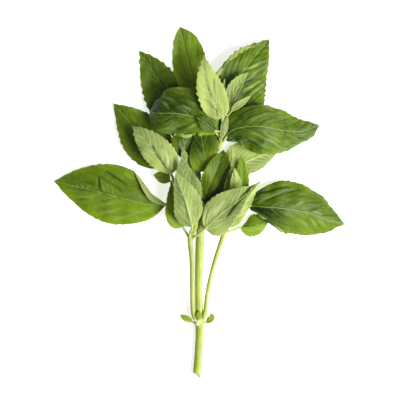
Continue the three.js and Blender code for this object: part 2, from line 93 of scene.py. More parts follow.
VEIN_LEAN = 1.3  # how far forward a side vein runs for each unit outward, at the midrib
VEIN_BEND = 1.5  # how much further forward it has turned by the margin
VEIN_CROWD = 0.3  # how much closer together side veins are near the tip
VEIN_WANDER = 0.14  # how far side veins stray from their even spacing
WANDER_LENGTH = 0.007
VEINS_IN_METRE = (30, 1e5)  # the fewest and most side veins that a metre of blade can cross
QUILT_HEIGHT = 0.0006  # how far a large leaf bulges between its side veins
QUILT_HEIGHTS = (0.5, 1.2)  # the least and most of that height that a bulge has
QUILT_REACH = 0.72  # share of the half width beyond which bulges fade
QUILT_FADE = 0.0022  # distance from the midrib over which bulges start
BLISTER_LENGTH = 0.0042  # of a smaller bulge, along its side vein
BLISTER_HEIGHT = 0.0003
SMALL_BLISTER_SHARE = 0.5  # of that length, on the smallest leaf
BLISTER_LIGHT = 0.4  # how much of a bulge's painted light is lost between its blisters
BULGE_PATTERNS = 64  # bulges with a height of their own, before they repeat
GROOVE_DEPTH = 0.0002  # of the midrib's groove in the upper face
GROOVE_WIDTH = 0.0009
WAVE_HEIGHT = 0.00045  # of a large leaf's margin
WAVE_LENGTH = 0.016
WAVE_START = (0.05, 0.3)  # shares of a blade between which its waves start
WAVE_END = (0.8, 1)
SWELL_HEIGHT = 0.0005  # of the broad, uneven swells of a large leaf's blade
SWELL_LENGTHS = (0.013, 0.019, 0.027)
SWELL_FADE = 0.006  # distance from the midrib over which swells start
LEVEL_FLAP = 0.85  # share of the way to its crease beyond which a folded leaf has no swells
CREASE_WIDTH = 0.0008
BASE_TONE_REACH = 0.6  # share of a blade over which the tone at its base gives way

STEM_SIDES = 48
STEM_STEP = 0.0006
STEM_GROOVE = 0.07  # how far a stem's four faces sink in, as a share of its radius
STEM_RIDGE = 0.012  # height of a stem's fine ribs, as a share of its radius
STEM_RIDGES = (7, 11, 17)  # how many ribs go round, in each of the sets that overlap
STEM_TIP = 0.4  # how far a stem's tip rounds out, in radii
CUT_SLANT = 1.1  # rise of the slanting cut at the stem's foot, per unit of width
CUT_RINGS = (0.93, 0.84, 0.45)  # of a stem's cut face, as shares of its radius
CUT_SINK = 0.00018  # of the cut face, within its outermost ring
CURVE_STEPS = 16  # samples in each stretch of a curve, for its length

VIEW_WIDTH = 0.256  # what the camera sees from side to side, at the height of the bunch
BUNCH_HEIGHT = 0.012  # where that is measured
CAMERA_PLACE = (0.0005, 0.0018, 1.45)
SENSOR_WIDTH = 0.036

FLOOR_SIDE = 4.0
FLOOR_DROP = -0.00002
FLOOR_GREYS = ((0.78, 0.78, 0.78), (0.82, 0.82, 0.82))
FLOOR_GLOW = 0.62
WORLD_STRENGTH = 0.32
KEY_POWER = 42.0
KEY_SIZE = 0.8
KEY_PLACE = (0.9, -0.35, 1.2)

# How fine each pattern of a surface is: its scale is how many of its features there are in a metre.
PATCH_SCALE = 70
STALK_PATCH_SCALE = 60
SPECK_SCALE = 420
WOBBLE_SCALE = 400
STREAK_SCALE = 1500
PITH_SCALE = 2200
GRAIN_SCALE = 2600
CLOUD_SCALE = 3
NET_WOBBLE = 0.0008  # how far a blade's net of small veins strays
MARGIN_WIDTH = 0.0006  # of a blade's pale edge
VEIN_THINS_FROM = 0.1  # share of the half width beyond which side veins narrow
VEIN_THINNING = 0.3  # share of its width that a side vein keeps at the margin
RIB_CORE = 0.6  # share of a midrib's width that is as pale as its middle
NET_LINE = 0.2  # half the width of the net's lines, as a share of its cells
BLOTCHINESS = 0.5  # how much a leaf's tone differs between its patches, and between its specks
BULGE_PAINTED_LIGHT = 0.2  # painted light: how much lighter a blade is on its bulges than on its veins, which take painted shade
EDGE_LIGHT_FROM = 0.55  # share of the half width beyond which a blade gets lighter: partly its own paler margin, partly painted light
EDGE_LIGHT = 0.22
PALE_SHARE = 0.8  # how far a tone of 2 turns to the colour of the veins
STREAKINESS = 0.9  # how much a stalk's tone differs between its streaks
GLOSS_SPREAD = 0.25  # how much a leaf's roughness differs between its specks
STALK_GLOSS_SPREAD = 0.2
BUMP_UNIT = 0.001  # the next heights, and those of the looks, are in millimetres
LEAF_GRAIN = 0.012
STALK_GRAIN = 0.02
STREAK_HEIGHT = 0.1
PITH_HEIGHT = 0.15
BAND_EDGE = (0.55, 0.9)  # cosines of the angles between which a stem's dark band, partly painted shade, fades
MARK_CORE = 0.5  # share of a mark's reach that has its full colour
RING_EDGE = (0.7, 0.95)  # shares of a cut stem's radius between which its ring turns green
STREAK_STRETCH = 0.08  # scale along a stalk of its streaks: below 1 draws them out

# Colours are linear. dark and light are the ends of a face's own range, shade is the colour of painted deep
# shade, the sheen colour is that of a painted highlight, and glow tints light that passes through. Each
# share is how strongly its vein, net or margin shows.
UPPER_LOOK = dict(
    dark=(0.02, 0.05, 0.001), light=(0.22, 0.35, 0.006), vein=(0.26, 0.38, 0.05), net=(0.03, 0.07, 0.002),
    shade=(0.009, 0.025, 0.0006), painted_sheen=(0.3, 0.42, 0.12), glow=(1, 1, 0.2),
    vein_width=0.0004, rib_width=0.00035, net_cell=0.001,
    side_share=0.62, vein_share=0.75, net_share=0.2, margin_share=0.35,
    vein_height=-0.08, net_height=0.08, roughness=0.385, gloss=0.24, through=0.15,
)
UNDER_LOOK = dict(
    dark=(0.185, 0.26, 0.07), light=(0.42, 0.52, 0.13), vein=(0.6, 0.7, 0.26), net=(0.55, 0.63, 0.22),
    shade=(0.03, 0.055, 0.006), painted_sheen=(0.66, 0.74, 0.32), glow=(0.8, 0.9, 0.3),
    vein_width=0.0004, rib_width=0.0004, net_cell=0.0014,
    side_share=0.8, vein_share=0.8, net_share=0.25, margin_share=0.3,
    vein_height=0.03, net_height=-0.16, roughness=0.605, gloss=0.15, through=0.2,
)
STALK_LOOK = dict(
    dark=(0.3, 0.4, 0.06), light=(0.55, 0.64, 0.2), glow=(1, 1, 0.4), roughness=0.45, gloss=0.45, through=0.1,
)
# A stem is darker round the side that band_turn gives, in radians from its right: partly its own darker
# edge, partly painted shade on the side away from the key light. Its marks are a pale scar and a brown
# speck where the two lower shoots leave it.
STEM_LOOK = dict(
    dark=(0.2, 0.25, 0.015), light=(0.52, 0.59, 0.13), glow=(1, 1, 0.4), roughness=0.42, gloss=0.45,
    through=0.05, band=0.5, band_turn=2.5,
    marks=(
        dict(place=(-0.0012, -0.0768, 0.006), reach=0.003, colour=(0.68, 0.7, 0.36)),
        dict(place=(-0.0026, -0.0765, 0.0045), reach=0.0014, colour=(0.12, 0.07, 0.03)),
    ),
)
CUT_LOOK = dict(
    dark=(0.4, 0.45, 0.2), light=(0.6, 0.62, 0.35), ring=(0.12, 0.18, 0.03), glow=(1, 1, 1), roughness=0.6,
    gloss=0.4, through=0,
)

# ---------------------------------------------------------------- the plant
# Lengths here are in millimetres. A stem is a line of points, each with a radius. A leaf is the line of its
# stalk, then that of its midrib. A pair of values is for a leaf's left and right half, seen along the leaf
# from its base, and one value is for both.
#   half_width  from the midrib to the margin, where the blade is widest
#   widest      where that is, as a share of its length, and taper, how strongly it narrows to both its ends
#   cup         the angle in degrees at which a half rises from the midrib, and curl, how much more it turns
#               by the margin
#   fold        how far its margin folds up near the base, along a crease that starts at fold_start of its
#               width and meets the margin at fold_length. The flap is wider by fold_extra.
#   hem         how far a narrow strip of its margin rolls over, and hem_part, from where to where
#   dent        how far its margin draws in round dent_at, a share of the blade's length
#   teeth       on a side of the CAD solid, and pairs, of side veins
#   jagged, quilt and swell  how strong its teeth, the bulges between its veins and its broad swells are
#   underside   it lies with its pale lower side up, and creased, its veins are still sunk in that side
#   rib         how clearly the midrib shows: above 0 pale, below 0 dark with painted shade in its groove
#   tone        from 0, dark, to 1, yellow-green, and beyond: paler above 1, in painted deep shade below 0.
#               It is partly the leaf's own colour and partly painted light and shade, where its two halves
#               and its base take light differently. base_tone is the tone at its base, where that isn't the
#               same.
PLAIN_LEAF = dict(
    widest=0.4, taper=1.65, curl=0, fold=0, fold_start=1, fold_length=1, fold_extra=0, hem=0, hem_part=(0, 1),
    dent=0, dent_at=0, teeth=8, pairs=6, jagged=1, quilt=1, swell=1, underside=False, creased=False,
)
UNDERSIDE_RIB = 0.3  # how clearly an underside's midrib shows, and an upper face's is 1
HALVES = ("half_width", "widest", "taper", "cup", "curl", "fold", "hem", "dent", "tone", "base_tone")

STEMS = {
    "main_stem": [
        (-1.5, -110.4, 2.4, 2.75), (-0.75, -101, 2.45, 2.75), (-0.3, -94, 2.55, 2.7), (0.15, -84, 2.8, 2.65),
        (0.1, -75, 3.2, 3), (0, -71, 3.5, 2.6), (-0.35, -49, 5, 2.5), (0.4, -26, 7, 2.95), (1.7, -7, 9, 2.55),
        (4.5, 11.5, 10.5, 2.1), (6.7, 27.5, 11.5, 2.2), (14.4, 39.7, 13, 1.9), (17.3, 57, 15.5, 1),
    ],
    "left_shoot_stem": [
        (-1.6, -76.5, 4, 1.4), (-3.9, -70.5, 5.5, 1.5), (-4.5, -57, 7.2, 1.45), (-4.75, -38, 9, 1.4),
        (-5.9, -23.7, 10.5, 1.6), (-2.8, -15.8, 13, 1.7), (-1, -7, 15.5, 0.9),
    ],
    "right_shoot_stem": [
        (1.6, -76, 4, 1.4), (3.9, -69.5, 5.5, 1.5), (5.5, -57, 7, 1.5), (9.2, -40.3, 8.5, 1.45),
        (16.1, -19.2, 10, 1.8), (19.2, -11.5, 12.5, 1), (21.8, -3.2, 15, 0.7),
    ],
    "axil_shoot_stem": [
        (2, -6, 10, 1.2), (-3, -1, 9, 1.1), (-8.3, 4.5, 9, 1.1), (-15.4, 12.2, 11, 1.1),
        (-17.3, 16.6, 12.5, 0.8),
    ],
}

LEAVES = {
    "main_leaf_low_left": dict(
        stalk=[(1, -7.5, 8.5), (-10, -5, 7)],
        midrib=[
            (-21, -1.3, 7), (-33.3, -1, 8.3), (-46.3, 2.2, 9.4), (-60, 5.8, 9.3), (-75, 9.5, 6.5),
            (-94.4, 14, 0.3),
        ],
        half_width=(20, 20.1), widest=0.46, taper=(2, 1.9), cup=(-36, -6), curl=(24, -6), fold=(0, 150),
        fold_start=0.3, fold_length=0.36, fold_extra=3.5, teeth=10, jagged=0.8, quilt=0.5, swell=0.4,
        tone=(0.5, 0.42), base_tone=(0.65, 0.35),
    ),
    "main_leaf_low_right": dict(
        stalk=[(3.2, -7, 8.5), (17, -4.5, 8)],
        midrib=[
            (31, -2.1, 9.5), (42.2, -2.8, 12.5), (55, -3.8, 12.5), (70, -6.4, 8.4), (82, -10.6, 4),
            (94.1, -14, 0.35),
        ],
        half_width=(18.5, 18.4), widest=(0.4, 0.53), taper=(1.5, 2.1), cup=(-10, -24), curl=(-12, -16),
        hem=(0, 180), hem_part=(0, 0.5), teeth=10, jagged=0.7, quilt=0.5, tone=(0.32, 0.5),
        base_tone=(0.1, -0.3),
    ),
    "main_leaf_top_back": dict(
        stalk=[(14, 40, 12)],
        midrib=[
            (13.5, 43.4, 9.6), (11.7, 51, 8.4), (7.6, 61.3, 8), (1, 72.2, 7.2), (-5.6, 85, 4.6),
            (-9.3, 99.7, 0.7), (-12.5, 113.5, 0.25),
        ],
        half_width=(11.2, 12.2), widest=(0.5, 0.66), taper=(1.3, 1.65), cup=4, quilt=0.35, tone=0.48,
        base_tone=0.2,
    ),
    "main_leaf_upper_left": dict(
        stalk=[(9, 33, 11), (-1, 42, 7)],
        midrib=[(-9.6, 51.8, 5), (-15.4, 62, 5), (-22.8, 73.4, 3), (-31.4, 87.2, 0.5), (-38.9, 98.4, 0.3)],
        half_width=(16.1, 12.2), widest=(0.28, 0.4), taper=(1.4, 1.5), cup=4, jagged=1.4, quilt=0.25, rib=0.6,
        tone=(0.22, 0.18), base_tone=0,
    ),
    "main_leaf_upper_front_left": dict(
        stalk=[(14, 39.7, 13.5)],
        midrib=[
            (11.4, 44, 17.2), (2.5, 52, 19.2), (-7.1, 55.7, 20), (-17, 57, 20.2), (-26, 57, 17.5),
            (-30.3, 58, 12.5), (-31.5, 59, 7),
        ],
        half_width=(15.5, 17.2), widest=0.5, taper=(1.65, 1.62), cup=(-22, -5), hem=(175, 0),
        hem_part=(0.12, 0.62), jagged=0.6, quilt=0.8, tone=(0.12, -0.05), base_tone=(0.7, 0.45),
    ),
    "main_leaf_top_front": dict(
        stalk=[(16.2, 55.9, 15.4)],
        midrib=[
            (14.9, 54.3, 20), (13, 58.7, 22), (7.2, 70.4, 25), (4.2, 79.4, 27.5), (3.2, 87.7, 27),
            (3.3, 94.1, 24.5),
        ],
        half_width=(9.5, 9.2), widest=(0.27, 0.38), taper=(1.5, 1.65), cup=(-4, -12), jagged=1.5, quilt=0.35,
        underside=True, creased=True, rib=-0.3, tone=0.78, base_tone=0.72,
    ),
    "main_leaf_top_right": dict(
        stalk=[(17, 55.5, 14.5)],
        midrib=[
            (17.7, 57.5, 13.8), (19, 63.4, 13), (21.8, 72.3, 12), (27.3, 82.8, 10.5), (35.5, 93.6, 8.5),
            (45.4, 105.6, 4.5),
        ],
        half_width=(14.5, 22), widest=(0.32, 0.25), taper=1.35, cup=(14, -10), hem=(170, 0),
        hem_part=(0.05, 0.95), teeth=9, jagged=1.4, pairs=7, quilt=0.75, tone=0.3, base_tone=(-0.1, 0.1),
    ),
    "main_leaf_upper_right": dict(
        stalk=[(15, 39.3, 13)],
        midrib=[
            (16.2, 40.4, 16), (19.4, 44.8, 17.3), (24.2, 47.4, 18.8), (32.8, 48.6, 20.5), (41.7, 48.2, 20.5),
            (50.7, 46.6, 17), (64.6, 45.6, 9.5), (77.6, 50, 7.5),
        ],
        half_width=(14.6, 17.8), widest=(0.45, 0.4), taper=(1.6, 1.4), cup=(-10, -18), dent=(0, 3),
        dent_at=0.8, teeth=10, jagged=0.8, quilt=0.5, tone=0.3, base_tone=(0.08, 0.05),
    ),
    "main_leaf_mid_left": dict(
        stalk=[(5.1, 24.3, 11), (-9, 19.8, 7)],
        midrib=[
            (-21.1, 26.2, 5.5), (-28.2, 33.3, 5.5), (-35.8, 41.6, 6), (-43.5, 50.8, 5.5), (-55.6, 64.2, 3),
        ],
        half_width=(15.2, 15.8), widest=(0.34, 0.36), taper=(1.55, 1.65), cup=(-10, -6), quilt=0.35, rib=0.7,
        tone=(0.35, 0.28), base_tone=0.2,
    ),
    "main_leaf_mid_right": dict(
        stalk=[(8.2, 25.5, 10.5), (12, 22, 7.5)],
        midrib=[(17, 20.5, 6.5), (28.5, 25.5, 7.5), (41.3, 30.9, 6.5), (50, 32, 4)],
        half_width=(14, 8.6), widest=(0.35, 0.5), cup=(-8, -12), teeth=7, pairs=7, quilt=0.3, underside=True,
        rib=0.9, tone=(0.85, 0.2), base_tone=(0.9, 0.1),
    ),
    "main_leaf_inner_left": dict(
        stalk=[(5, 26.5, 12), (-2.5, 25.6, 11.2)],
        midrib=[
            (-7.8, 27.4, 10.2), (-9.1, 33.2, 10.8), (-8.8, 38.3, 11.3), (-7, 44, 11.3), (-5.2, 49.2, 10.8),
        ],
        half_width=(9.3, 6), widest=(0.58, 0.45), cup=5, teeth=6, pairs=5, quilt=0.35, tone=0.1, base_tone=0,
    ),
    "main_leaf_inner_front": dict(
        stalk=[(5, 16, 12)], midrib=[(6.3, 20, 15), (3.3, 31.5, 16), (1.5, 42.7, 14), (0.3, 51.5, 12.3)],
        half_width=(10.5, 10), widest=(0.25, 0.52), cup=(-8, 5), teeth=7, pairs=5, quilt=0.25, swell=0.6,
        rib=1, tone=(-0.05, 0.15), base_tone=(0.7, 0.9),
    ),
    "main_leaf_inner_small": dict(
        stalk=[(3.9, 11.8, 11)],
        midrib=[(0.4, 14.2, 11.2), (-5.2, 20.6, 12.4), (-8.8, 27, 13.6), (-11, 35.6, 16)],
        half_width=(3.2, 5), widest=(0.4, 0.35), cup=-5, teeth=5, pairs=4, underside=True, rib=0, tone=-0.05,
        base_tone=-0.1,
    ),
    "left_shoot_leaf_left": dict(
        stalk=[(-5.8, -23.5, 10.5)],
        midrib=[
            (-10.5, -15.4, 12), (-14.5, -6.5, 14), (-16.9, 3.7, 14.5), (-17.7, 9.5, 14.6),
            (-18.3, 13.6, 14.6),
        ],
        half_width=(7.4, 7.5), widest=(0.25, 0.4), cup=(-10, -5), teeth=7, pairs=5, quilt=0.3, tone=0.85,
        base_tone=1.25,
    ),
    "left_shoot_leaf_front": dict(
        stalk=[(-5.8, -23.7, 10.5), (-5.9, -19, 15)],
        midrib=[
            (-4.6, -15.2, 18.8), (-8.3, -0.3, 25), (-11.5, 8.3, 26.5), (-13.8, 14.7, 26), (-14.7, 19.8, 24.5),
        ],
        half_width=(9, 10), widest=(0.28, 0.4), cup=-10, teeth=7, quilt=0.3, underside=True, rib=0.6,
        tone=(-0.1, 0.28), base_tone=(0, 0.45),
    ),
    "left_shoot_leaf_back": dict(
        stalk=[(-3, -13, 14)],
        midrib=[(-4.6, -5, 18.7), (-6.5, 7, 20.8), (-9.5, 17, 21.8), (-11.5, 28.2, 20.3)],
        half_width=(8, 8.5), cup=(-10, -5), teeth=7, quilt=0, underside=True, rib=0, tone=(0.5, -0.1),
        base_tone=(0.2, -0.45),
    ),
    "left_shoot_leaf_right": dict(
        stalk=[(-5.5, -23, 10.5), (-1, -20.5, 14.5)],
        midrib=[(3.9, -16.4, 18), (14, -7, 24), (21, -1.8, 26.5), (28.2, 4.5, 28), (34.6, 11.4, 27.5)],
        half_width=(11.7, 11.4), widest=(0.4, 0.2), taper=(1.65, 1.8), cup=(-5, -12), curl=(0, -10), pairs=7,
        quilt=0.25, underside=True, rib=0.7, tone=(0.3, -0.35), base_tone=0.4,
    ),
    "left_shoot_leaf_tip": dict(
        stalk=[(-1, -7, 15.5)],
        midrib=[(2.4, -0.8, 16.5), (5.6, 7.6, 18), (9.8, 17.2, 19.5), (13, 25.5, 19.5), (15.4, 33.8, 17)],
        half_width=(7.5, 10.5), widest=0.5, cup=(0, 8), curl=(0, 40), quilt=0.15, rib=0, tone=(0.38, 0.3),
        base_tone=(0.2, 0.1),
    ),
    "right_shoot_leaf_low": dict(
        stalk=[(15.9, -19.4, 10), (20.8, -17.8, 9.6)],
        midrib=[(26.4, -16.1, 8), (32.5, -15.7, 6.5), (38.3, -14.2, 5), (44.4, -12.7, 3.5)],
        half_width=(8, 6.6), widest=(0.6, 0.42), taper=(2.2, 1.5), cup=(-25, 5), teeth=6, pairs=4, quilt=0.3,
        tone=(0.4, 1.75), base_tone=(0.1, 1.4),
    ),
    "right_shoot_leaf_front": dict(
        stalk=[(15.7, -19.5, 10)],
        midrib=[(17.7, -15.5, 14), (21.8, -9, 18.2), (28.2, -0.3, 20.8), (33.3, 6.7, 21.5), (39.2, 13.9, 21)],
        half_width=(8, 5.8), widest=(0.35, 0.3), cup=(-5, -10), teeth=7, quilt=0.6, underside=True, rib=0.3,
        tone=(0.6, 1.1), base_tone=0.8,
    ),
    "right_shoot_leaf_right": dict(
        stalk=[(20.8, -6, 14)],
        midrib=[(24.7, -1.5, 14.6), (27.3, 11, 16), (27.8, 22, 16.5), (26.9, 30.1, 15.5)],
        half_width=(6.2, 4.5), cup=0, teeth=6, pairs=5, quilt=0.3, tone=0.75, base_tone=0.5,
    ),
    "right_shoot_leaf_small": dict(
        stalk=[(21.8, -3.2, 15)],
        midrib=[(22.4, 1, 16.6), (23.5, 8, 18.5), (23, 15.5, 19.8), (22.3, 22.2, 19.5)],
        half_width=4, cup=-8, teeth=5, pairs=4, underside=True, rib=0.2, tone=0.95, base_tone=0.8,
    ),
    "right_shoot_leaf_back": dict(
        stalk=[(20.2, -8.5, 13.3)],
        midrib=[(19.4, -3, 13.3), (20.8, 10, 13), (21.5, 24, 12.8), (20.9, 35.4, 12.5)],
        half_width=6, cup=-5, teeth=7, pairs=5, quilt=0.4, underside=True, rib=0.2, tone=0.65, base_tone=0.4,
    ),
    "axil_shoot_leaf_front": dict(
        stalk=[(-16.4, 14, 12)],
        midrib=[
            (-18, 18.3, 14), (-25.1, 29.1, 17.5), (-31.6, 37.7, 18.5), (-37.5, 44, 17), (-42.6, 49.1, 14),
        ],
        half_width=(8.6, 11), widest=(0.45, 0.3), taper=(1.65, 1.4), cup=-10, jagged=1.4, quilt=0.4,
        underside=True, creased=True, rib=-0.05, tone=(0.2, 0.15), base_tone=(0.85, 0.7),
    ),
    "axil_shoot_leaf_small": dict(
        stalk=[(-15, 12, 10.8)], midrib=[(-18.8, 14, 9.5), (-23.9, 16.1, 8.5), (-29.3, 17.9, 6.5)],
        half_width=(3.4, 5), cup=5, teeth=5, pairs=4, tone=1.75,
    ),
    "tip_leaf_right": dict(
        stalk=[(18, 57.4, 15.3)], midrib=[(19.6, 62, 17), (22.5, 70, 19), (26.5, 77, 19), (31.2, 83.2, 17.5)],
        half_width=(6, 3), cup=(10, 30), teeth=5, pairs=5, underside=True, tone=0.4, base_tone=-0.35,
    ),
    "tip_leaf_back": dict(
        stalk=[(16.6, 57.8, 15.7)],
        midrib=[(16.2, 62, 16.5), (15.9, 68, 16.8), (15.8, 74, 17), (16.2, 79, 17)],
        half_width=1.6, cup=30, teeth=4, pairs=4, underside=True, tone=0.5,
    ),
    "tip_leaf_narrow": dict(
        stalk=[(18.2, 56, 15.6)],
        midrib=[(20.6, 58.4, 19), (24, 61.5, 20.5), (28.5, 64.5, 21), (32.8, 68.2, 20)],
        half_width=(2.4, 2.2), cup=20, teeth=4, pairs=4, underside=True, tone=0.35, base_tone=0.15,
    ),
    "tip_leaf_front": dict(
        stalk=[(17.2, 55, 15.5)],
        midrib=[(17.9, 54.3, 17.8), (16.2, 50.8, 20), (15.4, 45.8, 19.8), (13.5, 39.6, 18)],
        half_width=(2.7, 2.3), widest=(0.42, 0.45), cup=-10, teeth=4, pairs=4, underside=True, rib=0.1,
        tone=0.1, base_tone=0.3,
    ),
    "tip_leaf_left": dict(
        stalk=[(14.5, 42.6, 14.6), (13.2, 45.2, 17.8)],
        midrib=[(10, 46, 20.5), (6.5, 48.8, 22), (2.5, 51.8, 23), (-1.6, 54.4, 23)],
        half_width=4.6, cup=8, teeth=4, pairs=4, tone=0.1,
    ),
    "node_leaf_left": dict(
        stalk=[(-1, -78.6, 2.8)],
        midrib=[(-4.6, -76.6, 3), (-6.8, -75.2, 3.6), (-9.4, -73.9, 3.9), (-12.1, -72.3, 3.4)],
        half_width=2.2, widest=0.45, cup=15, teeth=3, pairs=3, tone=1.5,
    ),
    "node_leaf_front": dict(
        stalk=[(-0.6, -76, 4.5)],
        midrib=[(-0.6, -75, 7), (-0.3, -73, 7.8), (-0.2, -71.2, 8), (0, -69.3, 7.6)],
        half_width=2.1, widest=0.5, cup=-15, teeth=3, pairs=3, tone=0.85,
    ),
    "node_leaf_right": dict(
        stalk=[(1.3, -76.8, 2.9)],
        midrib=[(4.5, -77, 3.6), (6.9, -75.4, 4.4), (8.3, -73.4, 4.6), (7.2, -71.2, 4.4)],
        half_width=(2.4, 2.1), widest=0.45, cup=(15, -15), teeth=3, pairs=3, tone=0.8,
    ),
}

# Small leaves in the stem's forks that the CAD part leaves out, painted in deep shade (tone below 0) to
# fill the shadowed gaps there.
BUDS = {
    "low_bud_leaf": dict(
        stalk=[(14.2, 39.2, 8.6)], midrib=[(13.5, 40.2, 7.8), (11, 42.8, 7), (7.8, 45, 6.6)],
        half_width=3.2, cup=5, teeth=4, pairs=4, tone=-0.3,
    ),
    "high_bud_leaf": dict(
        stalk=[(16.5, 52, 11.8)], midrib=[(16.8, 53.5, 10.8), (18.5, 55.8, 10), (21.5, 59, 9.6)],
        half_width=2.8, cup=5, teeth=4, pairs=4, tone=-0.3,
    ),
}
